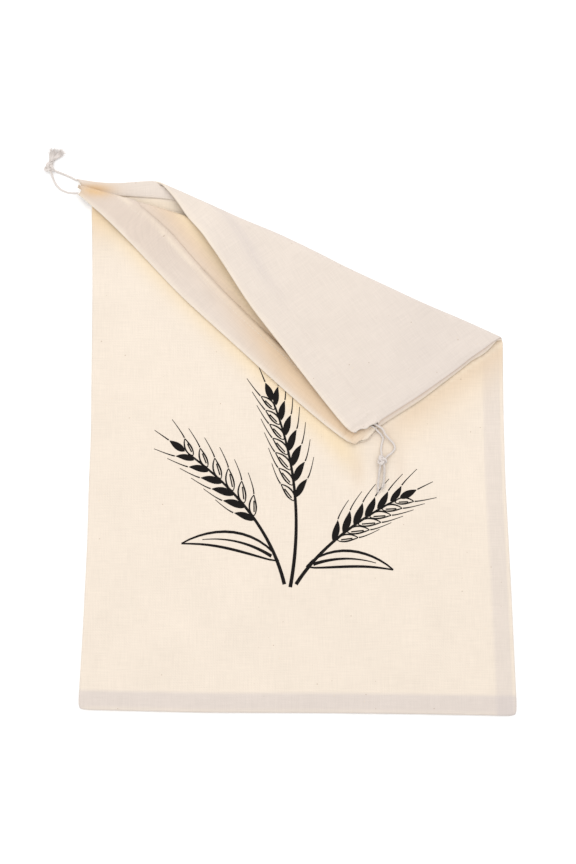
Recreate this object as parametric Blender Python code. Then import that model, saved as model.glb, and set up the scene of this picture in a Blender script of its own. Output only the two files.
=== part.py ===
"""Linen bread bag that lies flat, front side up, with its top right corner folded over, and its two drawcords.

Sizes are in millimetres and MM turns them into metres. X points right, Y points to the mouth and Z up.
The bag is first drawn flat, with y = 0 at its bottom edge, then its two panels are folded over. The origin
is on the flat underside, ORIGIN_Y above the bottom edge.
"""

import bpy
import bmesh
import numpy as np
from mathutils import Vector

MM = 0.001
ORIGIN_Y = 180.0

# Cloth
CLOTH = 1.0
HEM_CLOTH = 1.6
HEM_HEIGHT = 18.0
HEM_STEP = 2.0
POCKET = 2.5  # both panels together, outer face to outer face
EDGE_RADIUS = POCKET / 2
EDGE_STEPS = 3

# Outline of the flat bag: (y, x) up the two sides, (x, y) along the bottom and along the two mouth edges
LEFT_SIDE = ((0, -149.8), (51, -147.4), (119, -144.7), (188, -142.7), (300, -142.9), (352, -144.0))
RIGHT_SIDE = ((0, 149.9), (40, 148.4), (74, 147.3), (121, 145.3), (160, 143.6), (215, 142.9), (380, 143.2))
BOTTOM = ((-150, 2.4), (-60, 0.3), (15, 0.1), (80, -0.7), (150, -2.0))
BACK_MOUTH = ((-155, 370.0), (-125, 367.2), (-96, 368.0), (0, 372.5), (143, 378.6))
FRONT_MOUTH = ((-150, 372.0), (0, 375.5), (143, 378.6))
BACK_HEM_SWING = 11.8  # how far the free hem ends lean out to the left at the mouth
FRONT_HEM_SWING = 5.3

# Grid of each panel
HALF_WIDTH = 145.0
PANEL_HEIGHT = 370.0
COLUMNS = 20
BODY_ROWS = 20
CUT_SNAP = 0.35
ROW_SNAP = 0.5  # how near a row counts as lying on the hem's crease

# Folds, one line for each panel: its right and left point, the radius of the outer face's bend there,
# and the radius whose arc takes up as much cloth. Beside the sewn edge the front panel takes up as much
# as the back panel round it, in fine crinkles.
BACK_FOLD = {
    "right": (142.4, 256.0),
    "left": (-96.2, 367.6),
    "radii": (3.4, 5.25),
    "takes_up": (3.4, 5.25),
    "steps": 7,
    "bow": 2.3,
}
FRONT_FOLD = {
    "right": (142.4, 256.0),
    "left": (-145.0, 362.4),
    "radii": (0.75, 1.5),
    "takes_up": (3.4, 1.5),
    "steps": 5,
    "bow": 0.0,
}
BOW_CENTRE = 0.66  # along the fold from its right end
BOW_WIDTH = 0.14
PAST_FOLD_END = 1.15  # shares along a fold are read up to here

# Where the folded corner's hem ends lie: the drawcord gathers the mouth and pulls them up to the left
BACK_CORNER = (37.6, 192.4)
FRONT_CORNER = (36.4, 189.6)
BACK_FOLD_END = -96.0  # where each fold line meets the mouth edge
FRONT_FOLD_END = -148.0
GATHER_POWER = 1.3
GATHER_LIMIT = 1.2
LEAST_DEPTH = 6.0  # between fold line and mouth edge, for places beside the fold's end
PULL_START = 20.0  # past the bend the pull grows to its full share over this length
FRONT_LIP = (-0.6, -6.4)  # how much further the front panel's free hem end swings out
LIP_START = 0.88  # share of the way from fold to mouth
LIP_SIDE = 0.5  # share of the way along the mouth edge

# Heights of the outer faces of the folded layers
FRONT_REST = 3.0
BACK_SAG = 0.8
SAG_START = 4.0
SAG_END = 0.8  # share of the way from fold to mouth
BACK_MOUTH_LIFT = 3.6
SETTLE_LENGTH = 12.0
FRONT_HEM_LIFT = 1.3
HEM_LIFT_CORNER = (-85.0, 325.0)  # the front rises left of and above this point
HEM_LIFT_SLOPE = 25.0

# Drawcords
CORD = 1.5
LEFT_KNOT = {"centre": (-174.0, 378.7, 3.1), "radii": (3.3, 3.4, 3.0)}
RIGHT_KNOT = {"centre": (58.4, 173.4, 6.1), "radii": (3.3, 3.6, 3.1)}
KNOT_CUTS = 5
KNOT_RIDGE = 0.05  # the ridges of the knot's turns, as a share of its radius
KNOT_FLAT = -0.6  # no ridges on the knot's underside, below this slope
LEFT_TAILS = (
    ((-174.4, 382.9, 2.4), (-174.0, 387.6, 1.3), (-173.6, 392.6, 0.8)),
    ((-171.0, 381.9, 2.2), (-168.2, 385.6, 1.2), (-163.4, 389.2, 0.8)),
)
RIGHT_TAILS = (
    ((56.9, 169.2, 5.2), (56.3, 163.6, 3.7), (55.8, 157.2, 3.6), (55.5, 150.6, 3.6)),
    ((60.4, 169.0, 5.2), (60.4, 164.6, 3.7), (59.8, 159.0, 3.6), (59.2, 152.6, 3.6)),
)
TAIL_TIP = 0.8  # half width of a tail's tip, as a share of the cord's
STRANDS = {
    "left_strand_back": (
        (-154.9, 370.4, 0.9),
        (-159.6, 372.9, 0.85),
        (-164.6, 375.0, 0.8),
        (-168.2, 376.3, 1.2),
        (-170.7, 377.3, 2.0),
    ),
    "left_strand_front": (
        (-153.2, 359.8, 7.3),
        (-157.2, 360.2, 6.1),
        (-162.0, 361.5, 3.6),
        (-166.4, 364.2, 1.5),
        (-169.4, 367.6, 0.85),
        (-171.4, 371.4, 0.9),
        (-172.5, 375.2, 1.8),
    ),
    "right_strand_short": (
        (55.8, 193.4, 4.6),
        (58.0, 191.2, 3.9),
        (59.3, 188.6, 3.6),
        (58.6, 185.6, 3.6),
        (57.9, 181.2, 3.7),
        (58.2, 177.2, 5.1),
    ),
    "right_strand_long": (
        (58.8, 195.0, 5.4),
        (60.6, 191.6, 5.6),
        (63.4, 188.2, 5.0),
        (66.6, 184.8, 3.8),
        (67.3, 181.4, 3.6),
        (64.9, 178.3, 3.7),
        (61.5, 175.6, 5.2),
    ),
}
STRAND_SPACING = 3.2
ROUTE_STEPS = 12


# General helpers

def material(name, colour, roughness):
    """A plain Principled material."""
    mat = bpy.data.materials.new(name)
    mat.use_nodes = True
    shader = mat.node_tree.nodes["Principled BSDF"]
    shader.inputs["Base Color"].default_value = (*colour, 1.0)
    shader.inputs["Roughness"].default_value = roughness
    shader.inputs["Metallic"].default_value = 0.0
    return mat


def in_metres(point):
    """A point of the drawing, in millimetres, as a point of the part, in metres."""
    x, y, z = point
    return Vector((x * MM, (y - ORIGIN_Y) * MM, z * MM))


def smooth(value):
    """0 below 0, 1 above 1 and a soft step between them."""
    value = min(max(value, 0.0), 1.0)
    return value * value * (3.0 - 2.0 * value)


def table(rows, at):
    """A value read from rows of (place, value)."""
    return float(np.interp(at, [row[0] for row in rows], [row[1] for row in rows]))


def add_object(name, data, mat):
    """Link a named object that has one material."""
    data.materials.append(mat)
    obj = bpy.data.objects.new(name, data)
    bpy.context.collection.objects.link(obj)
    return obj


# Flat bag

def mouth_height(x, front):
    return table(FRONT_MOUTH if front else BACK_MOUTH, x)


def flat_point(across, up, front):
    """The point of a flat panel at the shares across, from the left, and up, from the bottom."""
    x = HALF_WIDTH * (2.0 * across - 1.0)
    low = table(BOTTOM, x) + EDGE_RADIUS
    high = mouth_height(x, False)
    y = low + up * (high - low)
    above_crease = max((y - high + HEM_HEIGHT) / HEM_HEIGHT, 0.0)
    if front:
        y += (mouth_height(x, True) - high) * above_crease
    swing = FRONT_HEM_SWING if front else BACK_HEM_SWING
    left = table(LEFT_SIDE, y) + EDGE_RADIUS - swing * above_crease
    right = table(RIGHT_SIDE, y) - EDGE_RADIUS
    return left + (right - left) * across, y


# Folding

class Fold:
    """Turns a flat panel over along a nearly straight line, with a round bend."""

    def __init__(self, sizes, fold_end, corner, front):
        self.right = Vector(sizes["right"])
        self.left = Vector(sizes["left"])
        self.radii = sizes["radii"]
        self.takes_up = sizes["takes_up"]
        self.steps = sizes["steps"]
        self.bow = sizes["bow"]
        self.length = (self.left - self.right).length
        self.along = (self.left - self.right) / self.length
        self.across = Vector((-self.along.y, self.along.x))
        if self.across.y < 0:
            self.across.negate()
        self.front = front
        self.fold_end = fold_end
        flat_corner = Vector(flat_point(1.0, 1.0, front))
        turned = self.turn(flat_corner)[0]
        self.shift = Vector(corner) - turned

    def radius(self, ends, share):
        """A radius at a share along the fold, from the values at its two ends."""
        share = min(max(share, 0.0), PAST_FOLD_END)
        return ends[0] + (ends[1] - ends[0]) * share

    def place(self, flat):
        """The share along the fold and the distance past its outermost line."""
        offset = flat - self.right
        return offset.dot(self.along) / self.length, offset.dot(self.across)

    def turn(self, flat):
        """Plan point, height above the flat panel, angle turned, and distance past the bend."""
        share, past = self.place(flat)
        radius = self.radius(self.radii, share)
        arc = self.radius(self.takes_up, share)
        bow = self.bow * np.exp(-(((share - BOW_CENTRE) / BOW_WIDTH) ** 2))
        foot = flat - self.across * past
        if past <= -arc:
            return flat.copy(), 0.0, 0.0, 0.0
        angle = min((past + arc) / arc, np.pi)
        beyond = max(past - (np.pi - 1.0) * arc, 0.0)
        level = -arc + (radius + bow) * np.sin(angle) - beyond
        return foot + self.across * level, radius * (1.0 - np.cos(angle)), angle, beyond

    def gathered(self, flat):
        """How far the drawcord pulls a point of the folded part, and its shares to the mouth and along it."""
        x, y = flat
        fold_y = self.right.y + (self.right.x - x) * -self.along.y / self.along.x
        depth = max(mouth_height(x, self.front) - fold_y, LEAST_DEPTH)
        share = min(max((y - fold_y) / depth, 0.0), GATHER_LIMIT)
        side = (x - self.fold_end) / (self.right.x - self.fold_end)
        return self.shift * share * max(side, 0.0) ** GATHER_POWER, share, side


BACK = Fold(BACK_FOLD, BACK_FOLD_END, BACK_CORNER, False)
FRONT = Fold(FRONT_FOLD, FRONT_FOLD_END, FRONT_CORNER, True)


def back_point(flat):
    """The folded place of a point of the back panel's outer face."""
    plan, height, angle, beyond = BACK.turn(flat)
    if angle < np.pi:
        return Vector((plan.x, plan.y, height))
    pull, share, side = BACK.gathered(flat)
    side = min(max(side, 0.0), 1.0)
    body = min(share / SAG_END, 1.0)
    full = np.exp(-((beyond / SAG_START) ** 2))
    sag = BACK_SAG * np.sin(np.pi * body) * (1.0 - full)
    lift = BACK_MOUTH_LIFT * np.sin(np.pi * side) * smooth(share)
    plan = plan + pull * smooth(beyond / PULL_START)
    return Vector((plan.x, plan.y, height - sag + lift))


def front_base(flat):
    """Height of the front panel's outer face where it isn't folded."""
    left, top = HEM_LIFT_CORNER
    near_hem = smooth((flat.y - top) / HEM_LIFT_SLOPE) * smooth((left - flat.x) / HEM_LIFT_SLOPE)
    return POCKET + FRONT_HEM_LIFT * near_hem


def front_point(flat):
    """The folded place of a point of the front panel's outer face."""
    plan, height, angle, beyond = FRONT.turn(flat)
    base = front_base(flat)
    if angle < np.pi:
        return Vector((plan.x, plan.y, base + height))
    pull, share, side = FRONT.gathered(flat)
    plan = plan + pull * smooth(beyond / PULL_START)
    free = smooth((share - LIP_START) / (1.0 - LIP_START)) * smooth((side - LIP_SIDE) / (1.0 - LIP_SIDE))
    plan = plan + Vector(FRONT_LIP) * free
    rest = FRONT_REST + (base - POCKET)
    fullness = np.exp(-((beyond / SETTLE_LENGTH) ** 2))
    return Vector((plan.x, plan.y, rest + (base + height - rest) * fullness))


def edge_point(flat, outward, turn):
    """A point of the round edge between the two panels, at an angle from the back one."""
    step = Vector(outward)
    back = back_point(flat)
    front = front_point(flat)
    away = back_point(flat + step) - back + front_point(flat + step) - front
    away.normalize()
    share = (1.0 - np.cos(turn)) / 2.0
    return back.lerp(front, share) + away * (EDGE_RADIUS * np.sin(turn))


# Bag cloth

def panel_grid(front):
    """One flat panel as a grid with closer rows in its hem, cut along the lines where the bends step."""
    bm = bmesh.new()
    rows = BODY_ROWS + 4
    made = bmesh.ops.create_grid(bm, x_segments=COLUMNS, y_segments=rows, size=1.0)
    crease = 1.0 - HEM_HEIGHT / PANEL_HEIGHT
    below = crease - HEM_STEP / PANEL_HEIGHT
    heights = [below * row / BODY_ROWS for row in range(BODY_ROWS + 1)]
    heights += [crease, (crease * 2 + 1) / 3, (crease + 2) / 3, 1.0]
    for vert in made["verts"]:
        across = (vert.co.x + 1.0) / 2.0
        row = round((vert.co.y + 1.0) / 2.0 * rows)
        vert.co = (*flat_point(across, heights[row], front), 0.0)
    for fold in (BACK, FRONT):
        cut_along_bend(bm, fold)
    bmesh.ops.triangulate(bm, faces=bm.faces[:])
    return bm


def cut_along_bend(bm, fold):
    """Cut a flat panel along the lines where one bend steps round."""
    for step in range(fold.steps + 1):
        angle = np.pi * step / fold.steps
        ends = []
        for point, arc in ((fold.right, fold.takes_up[0]), (fold.left, fold.takes_up[1])):
            ends.append(point + fold.across * (arc * (angle - 1.0)))
        line = (ends[1] - ends[0]).normalized()
        bmesh.ops.bisect_plane(
            bm,
            geom=bm.verts[:] + bm.edges[:] + bm.faces[:],
            dist=CUT_SNAP,
            plane_co=(ends[0].x, ends[0].y, 0.0),
            plane_no=(-line.y, line.x, 0.0),
        )


def sewn_edge(panel, front):
    """The vertices down the left side, along the bottom and up the right side, from slit to slit."""
    start = min((v for v in panel.verts if v.is_boundary), key=lambda v: v.co.x - v.co.y)
    chain = [start]
    seen = {start}
    while True:
        here = chain[-1]
        steps = [e.other_vert(here) for e in here.link_edges if e.is_boundary]
        steps = [v for v in steps if v not in seen]
        if not steps:
            break
        chain.append(min(steps, key=lambda v: (v.co - here.co).normalized().y))
        seen.add(chain[-1])
    return [v for v in chain if v.co.y < mouth_height(v.co.x, front) - HEM_HEIGHT + ROW_SNAP]


def outward_ways(points):
    """The way out of the bag at each point of its sewn edge."""
    ways = []
    for before, after in zip([points[0]] + points[:-1], points[1:] + [points[-1]]):
        along = (after - before).normalized()
        ways.append(Vector((along.y, -along.x)))
    middle = len(points) // 2
    if ways[middle].y > 0:
        ways = [-way for way in ways]
    return ways


def make_bag(mat):
    """The whole bag: two panels joined round three sides, with an open mouth and a slit at each hem end."""
    bm = bmesh.new()
    hem = []
    chains = []
    for front, place in ((False, back_point), (True, front_point)):
        panel = panel_grid(front)
        made = {}
        for vert in panel.verts:
            made[vert] = bm.verts.new(place(vert.co.xy))
            if vert.co.y > mouth_height(vert.co.x, front) - HEM_HEIGHT - ROW_SNAP:
                hem.append(made[vert])
        for face in panel.faces:
            bm.faces.new([made[vert] for vert in face.verts])
        chains.append([(vert.co.xy.copy(), made[vert]) for vert in sewn_edge(panel, front)])
        panel.free()
    back, front = chains
    flat = [point for point, vert in back]
    rows = []
    for (point, low), (_, high), way in zip(back, front, outward_ways(flat)):
        row = [low]
        for step in range(1, EDGE_STEPS):
            row.append(bm.verts.new(edge_point(point, way, np.pi * step / EDGE_STEPS)))
        rows.append(row + [high])
    for here, there in zip(rows, rows[1:]):
        for step in range(EDGE_STEPS):
            bm.faces.new((here[step], there[step], there[step + 1], here[step + 1]))
    bmesh.ops.recalc_face_normals(bm, faces=bm.faces[:])
    floor = [f for f in bm.faces if f.calc_center_median().z < 0.01]
    if sum(f.normal.z for f in floor) > 0:
        bmesh.ops.reverse_faces(bm, faces=bm.faces[:])
    bm.verts.index_update()
    hem_indices = [v.index for v in hem]
    for vert in bm.verts:
        vert.co = in_metres(vert.co)
    mesh = bpy.data.meshes.new("bag")
    bm.to_mesh(mesh)
    bm.free()
    mesh.shade_smooth()
    bag = add_object("bag", mesh, mat)
    group = bag.vertex_groups.new(name="hem")
    group.add(hem_indices, 1.0, "REPLACE")
    wall = bag.modifiers.new("cloth", "SOLIDIFY")
    wall.thickness = HEM_CLOTH * MM
    wall.offset = -1.0
    wall.vertex_group = "hem"
    wall.thickness_vertex_group = CLOTH / HEM_CLOTH
    return bag


# Drawcords

def smooth_route(points, spacing):
    """Points a fixed distance apart on a smooth curve through the given ones."""
    places = [Vector(p) for p in points]
    places = [places[0] * 2 - places[1]] + places + [places[-1] * 2 - places[-2]]
    fine = []
    for a, b, c, d in zip(places, places[1:], places[2:], places[3:]):
        for step in range(ROUTE_STEPS):
            t = step / ROUTE_STEPS
            fine.append(
                0.5 * (2 * b + (c - a) * t + (2 * a - 5 * b + 4 * c - d) * t ** 2
                       + (3 * b - a - 3 * c + d) * t ** 3)
            )
    fine.append(places[-2])
    lengths = np.cumsum([0.0] + [(q - p).length for p, q in zip(fine, fine[1:])])
    count = max(int(round(lengths[-1] / spacing)), 2)
    axes = np.array([tuple(p) for p in fine])
    at = np.linspace(0.0, lengths[-1], count + 1)
    return [Vector([np.interp(s, lengths, axes[:, k]) for k in range(3)]) for s in at]


def make_strand(name, points, mat):
    """A free stretch of drawcord as a round tube."""
    curve = bpy.data.curves.new(name, "CURVE")
    curve.dimensions = "3D"
    curve.bevel_depth = CORD / 2 * MM
    curve.bevel_resolution = 2
    curve.use_fill_caps = True
    route = smooth_route(points, STRAND_SPACING)
    spline = curve.splines.new("POLY")
    spline.points.add(len(route) - 1)
    for point, place in zip(spline.points, route):
        point.co = (*in_metres(place), 1.0)
    return add_object(name, curve, mat)


def make_knot(name, sizes, tails, mat):
    """An overhand knot as a ridged lump, with its tails drawn out of it as four-sided strands."""
    bm = bmesh.new()
    bmesh.ops.create_cube(bm, size=2.0)
    bmesh.ops.subdivide_edges(bm, edges=bm.edges[:], cuts=KNOT_CUTS, use_grid_fill=True)
    radii = Vector(sizes["radii"])
    centre = Vector(sizes["centre"])
    for vert in bm.verts:
        way = vert.co.normalized()
        wound = 1.0 + KNOT_RIDGE * np.sin(3.0 * np.arctan2(way.y, way.x) + 5.0 * way.z)
        if way.z < KNOT_FLAT:
            wound = 1.0
        vert.co = centre + Vector((way.x * radii.x, way.y * radii.y, way.z * radii.z)) * wound
    used = set()
    for points in tails:
        points = [Vector(p) for p in points]
        way = (points[0] - centre).normalized()
        bm.faces.ensure_lookup_table()
        face = max(
            (f for f in bm.faces if f not in used and len(f.verts) == 4),
            key=lambda f: (f.calc_center_median() - centre).normalized().dot(way),
        )
        for index, point in enumerate(points):
            made = bmesh.ops.extrude_discrete_faces(bm, faces=[face])
            face = made["faces"][0]
            used.add(face)
            after = points[min(index + 1, len(points) - 1)]
            before = points[max(index - 1, 0)]
            heading = (after - before).normalized()
            half = CORD / 2 * (1.0 if index + 1 < len(points) else TAIL_TIP)
            turn = face.normal.rotation_difference(heading)
            middle = face.calc_center_median()
            for vert in face.verts:
                spoke = turn @ (vert.co - middle)
                spoke -= heading * spoke.dot(heading)
                vert.co = point + spoke.normalized() * half
    bmesh.ops.recalc_face_normals(bm, faces=bm.faces[:])
    for vert in bm.verts:
        vert.co = in_metres(vert.co)
    mesh = bpy.data.meshes.new(name)
    bm.to_mesh(mesh)
    bm.free()
    mesh.shade_smooth()
    return add_object(name, mesh, mat)


for old in list(bpy.data.objects):
    bpy.data.objects.remove(old, do_unlink=True)

linen = material("cream linen", (0.86, 0.77, 0.65), 0.9)
cotton = material("off white cotton cord", (0.80, 0.76, 0.68), 0.9)

make_bag(linen)
for strand, route in STRANDS.items():
    make_strand(strand, route, cotton)
make_knot("left_knot", LEFT_KNOT, LEFT_TAILS, cotton)
make_knot("right_knot", RIGHT_KNOT, RIGHT_TAILS, cotton)
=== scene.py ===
"""Looks of the linen bread bag: cloth, hem stitching, printed wheat and twisted drawcords.

Sizes are in millimetres of the bag's own drawing, with y = 0 at its bottom edge. in_frame() turns them
into the frame's metres.
"""

import math

import bpy
import numpy as np
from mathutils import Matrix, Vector


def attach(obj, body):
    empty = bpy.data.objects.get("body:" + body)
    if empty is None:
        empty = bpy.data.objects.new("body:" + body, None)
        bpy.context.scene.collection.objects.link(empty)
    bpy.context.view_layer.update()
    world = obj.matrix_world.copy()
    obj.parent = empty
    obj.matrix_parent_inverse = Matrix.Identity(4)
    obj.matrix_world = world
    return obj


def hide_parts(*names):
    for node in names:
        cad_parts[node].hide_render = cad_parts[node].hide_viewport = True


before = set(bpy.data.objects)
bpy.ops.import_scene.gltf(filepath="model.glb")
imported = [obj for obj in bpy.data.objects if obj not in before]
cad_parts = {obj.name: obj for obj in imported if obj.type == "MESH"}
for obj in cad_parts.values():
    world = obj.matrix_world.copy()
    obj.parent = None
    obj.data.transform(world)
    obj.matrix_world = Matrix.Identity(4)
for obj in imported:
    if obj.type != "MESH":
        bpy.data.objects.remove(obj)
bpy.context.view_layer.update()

MM = 0.001
ORIGIN_Y = 180.0
BODY = "root"

# Outline of the flat bag: (y, x) up the sides, (x, y) along the bottom and the mouth edges
LEFT_SIDE = (
    (0, -150.7), (51, -148.0), (119, -145.1), (160, -144.4), (188, -143.3), (300, -143.1), (352, -144.2),
)
RIGHT_SIDE = (
    (0, 150.5), (40, 149.0), (74, 147.8), (121, 145.8), (160, 144.0), (215, 143.1), (380, 143.4),
)
BOTTOM = ((-150, 2.4), (-60, 0.3), (15, 0.1), (80, -0.7), (150, -2.0))
BACK_MOUTH = (
    (-155, 373.6), (-146, 371.8), (-138, 370.0), (-121, 368.2), (-96, 370.2), (0, 372.5), (143, 378.6),
)
FRONT_MOUTH = ((-150, 372.0), (0, 375.5), (143, 378.6))
HALF_WIDTH = 145.0
PANEL_HEIGHT = 368.0
FLAT_CORNER = (141.9, 378.5)  # upper end of the sewn side, before it is turned over
BACK_HEM_SWING = 11.8
FRONT_HEM_SWING = 5.3
CORNER_ROUND = 0.7
MOUTH_CORNER_ROUND = 2.6

# Cloth
POCKET = 2.5
EDGE_RADIUS = POCKET / 2
CLOTH = 0.5
CELL = 2.72
EDGE_CUTS = 13
SEAM_ALLOWANCE = 12.4
SEAM_EDGE = 2.6
BOTTOM_ALLOWANCE = 14.5

# Folds: right and left point of the outermost line, then rows of (share of the way to the left, value):
# the bend's radius in plan, its half height, the cloth it takes up, and how far the line bows outward
BACK_FOLD = {
    "right": (142.4, 259.0),
    "left": (-96.2, 369.0),
    "radii": ((0.0, 3.4), (0.8, 4.8), (0.92, 2.3), (1.0, 1.0)),
    "half_heights": ((0.0, 3.4), (0.8, 4.8), (0.92, 3.0), (1.0, 1.55)),
    "takes_up": ((0.0, 3.4), (0.8, 4.8), (0.92, 2.3), (1.0, 1.0)),
    "bows": ((0.1, 0.0), (0.22, -1.0), (0.45, -0.6), (0.56, 0.7), (0.66, 1.1), (0.76, -0.2), (0.88, 0.0)),
    "warp": 0.0,
    "cuts": 9,
}
FRONT_FOLD = {
    "right": (142.4, 259.0),
    "left": (-145.0, 362.4),
    "radii": ((0.0, 0.75), (1.0, 1.5)),
    "half_heights": ((0.0, 0.75), (1.0, 1.5)),
    "takes_up": ((0.0, 3.4), (1.0, 1.5)),
    "bows": ((0.7, 0.0), (0.8, 1.0), (0.88, 1.4), (0.95, 0.4), (1.0, -0.6)),
    "warp": 6.2,
    "cuts": 7,
}
FOLD_BLUR = 0.03
WARP_CENTRE = 0.70
WARP_WIDTH = 0.20
WARP_REACH = 28.0
BACK_CORNER = (38.3, 190.0)
FRONT_CORNER = (36.4, 189.6)
PAST_FOLD_END = 1.15  # shares along a fold are read up to here
GATHER_POWER = 1.3
GATHER_LIMIT = 1.2
LEAST_DEPTH = 6.0  # between fold line and mouth edge, for places beside the fold's end
PULL_START = 20.0  # past the bend the pull grows to its full share over this length
FRONT_LIP = (3.4, -6.8)
# The mouth edges bow out between their ends: way and distance, how soon it starts, and local swells as
# (share along the mouth, half width, distance)
BACK_BOW = {
    "way": (-0.75, -0.66),
    "reach": 3.0,
    "starts": 0.12,
    "ends": 8,
    "swells": ((0.48, 0.16, 3.0), (0.72, 0.14, 0.9), (0.13, 0.05, 2.2)),
}
FRONT_BOW = {
    "way": (-0.69, -0.72),
    "reach": 5.8,
    "starts": 0.42,
    "ends": 6,
    "swells": (),
}
# The sewn sides of the flap swell outward: rows of (share of the way from the fold to the mouth, distance)
SIDE_SWELL = (
    (0.0, 0.0), (0.06, -0.6), (0.15, -0.9), (0.25, 0.8), (0.33, 1.4), (0.45, 1.6), (0.58, 1.5), (0.72, 0.7),
    (0.86, 0.1), (1.0, 0.0),
)
SIDE_SWELL_BLUR = 0.04
SIDE_SWELL_REACH = 40.0
# Beside the left cord the front's fold is drawn out to the left
LEFT_DRAW = 8.5
DRAW_WIDTH = 3.2
DRAW_LENGTH = 9.0
DRAW_DROP = -0.22
# Heights of the flap's two layers
FRONT_REST = 3.7
MOUTH_DROOP = 0.4
BACK_SAG = 0.8
SAG_START = 4.0
SAG_END = 0.8  # share of the way from fold to mouth
BACK_MOUTH_LIFT = 2.4
SETTLE_LENGTH = 12.0
LOOSE_START = 14.0  # past the bend the cloth lies loose from here
CREASE_START = 8.0
FRONT_HEM_LIFT = 1.3
HEM_LIFT_CORNER = (-85.0, 325.0)  # the front rises left of and above this point
HEM_LIFT_SLOPE = 25.0
FREE_START = 0.88  # the front's hem end comes free of the back at this share of the way to the mouth
# Crumpled hem ends of the flap: a ripple along the side's edge and one outward swell beside the mouth
BACK_CRUMPLE = {
    "ripple": 1.2, "waves": 0.75, "phase": 0.4, "swell": 2.2, "at": 15.5, "width": 3.6, "reach": 5.0,
}
FRONT_CRUMPLE = {
    "ripple": 0.9, "waves": 0.62, "phase": 2.4, "swell": 3.2, "at": 9.5, "width": 6.0, "reach": 8.0,
}
CRUMPLE_REACH = 5.0
# Fine gathers beside the hem ends: how far they reach in, how high the cloth lies there and their waves
BACK_GATHER = {"reach": 16.0, "height": 1.3, "wave": 0.8}
FRONT_GATHER = {"reach": 20.0, "height": 0.5, "wave": 0.75}
GATHER_START = 0.78
GATHER_SLOPE = 0.12

# Hems and seams
HEM_OPENING = 18.0
BACK_HEM_HEIGHT = ((-145.0, 9.8), (-118.0, 9.4), (-88.0, 13.6), (-66.0, 18.0), (145.0, 18.0))
FRONT_HEM_HEIGHT = 16.5
SEAM_LIP = 3.8
WIDER_LIP = 2.0
LIP_REACH = 7.0
SEAM_OUTWARD = np.array((0.549, -0.836))
GROOVE = 0.75
STITCH_PITCH = 3.0
STITCH_LENGTH = 2.3
STITCH_WIDTH = 0.36
STITCH_SINK = 0.05
STITCH_INSET = 1.6

# Rows of each panel: from its hem line, below its mouth edge, round that edge (with how far the hem has
# turned in) and as shares of the turned-in layer; and columns, from the sewn side
HEM_LINE_ROWS = (3.0, 1.8, 0.9, 0.2, -0.5, -1.3, -2.4)
MOUTH_ROWS = (13.0, 10.4, 8.9, 8.2, 6.2, 3.8, 1.9, 0.95)
BENT_ROWS = ((0.45, 0.06), (0.13, 0.25), (0.0, 0.5), (0.13, 0.75), (0.45, 0.94), (0.95, 1.0))
TURNED_IN_ROWS = (0.2, 0.38, 0.56, 0.74, 0.9, 1.0)
EVEN_COLUMNS_END = 17.5
SEWN_COLUMNS = (16.0, 15.0, 14.0, 13.0, 11.0, 8.5, 6.0, 4.0, 2.8, 2.0, 1.2, 0.0)

# Printed wheat: base, control point and tip of each ear's curve, its rows of grains and its open side
INK_RISE = 0.07
EAR_START = 0.42
GRAIN_LENGTH = 16.0
STEM_WIDTHS = (2.6, 1.3)
BRISTLE_WIDTHS = (0.95, 0.4)
WHEAT_EARS = (
    ((-9, 88), (-22, 142), (-84, 184), 6, -1),
    ((-5, 86), (8, 156), (-20, 222), 7, 1),
    ((-1, 88), (22, 124), (76, 150), 6, -1),
)
# Leaves: start, end, bend and width
WHEAT_LEAVES = (
    ((-13, 104), (-80, 116), -0.24, 12.0),
    ((6, 100), (66, 98), 0.22, 11.0),
)

# Drawcords, three plies twisted together
PLIES = 3
PLY_RADIUS = 0.41
PLY_OFFSET = 0.38
PLY_PITCH = 3.6
FIBRE_FLOOR = 0.15
LEFT_ROUTE = (
    (-154.9, 370.4, 0.9), (-159.6, 372.9, 0.85), (-164.6, 375.0, 0.8), (-168.2, 376.3, 1.2),
    (-170.7, 377.3, 2.0), (-174.2, 379.4, 3.0), (-174.0, 377.6, 3.0), (-172.5, 375.2, 1.8),
    (-171.4, 371.4, 0.9), (-169.4, 367.6, 0.85), (-166.4, 364.2, 1.5), (-162.0, 361.5, 3.6),
    (-157.2, 360.2, 6.1), (-153.2, 359.8, 7.3),
)
RIGHT_ROUTE = (
    (46.2, 199.8, 4.9), (49.6, 198.2, 4.9), (53.0, 196.2, 4.9), (55.8, 193.4, 4.6), (58.0, 191.2, 3.9),
    (59.3, 188.6, 3.6), (58.6, 185.6, 3.6), (57.9, 181.2, 3.7), (58.2, 177.2, 5.1), (58.0, 172.8, 6.2),
    (59.4, 172.6, 6.2), (61.5, 175.6, 5.2), (64.9, 178.3, 3.7), (67.3, 181.4, 3.6), (66.6, 184.8, 3.8),
    (63.4, 188.2, 5.0), (60.6, 191.6, 5.6), (58.8, 195.0, 5.4), (54.8, 197.6, 6.6), (50.8, 199.6, 7.6),
    (46.8, 201.4, 8.0),
)
LEFT_KNOT = {"centre": (-174.0, 379.0, 3.1), "size": 3.1, "tilt": 1.0, "height": 1.1}
RIGHT_KNOT = {"centre": (58.4, 173.4, 6.1), "size": 2.9, "tilt": 1.35, "height": 1.0}
LEFT_TAILS = (
    {"points": ((-173.6, 382.4, 2.4), (-173.0, 385.0, 1.9)), "loose": 1.9, "slack": 1.8, "fray": 10.5,
     "spread": 0.24, "fibres": 100, "seed": 7},
    {"points": ((-172.2, 382.2, 2.2), (-171.4, 384.4, 1.7), (-169.6, 386.4, 1.6)), "loose": 1.9, "slack": 1.8,
     "fray": 9.0, "spread": 0.2, "fibres": 100, "seed": 8},
)
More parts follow.
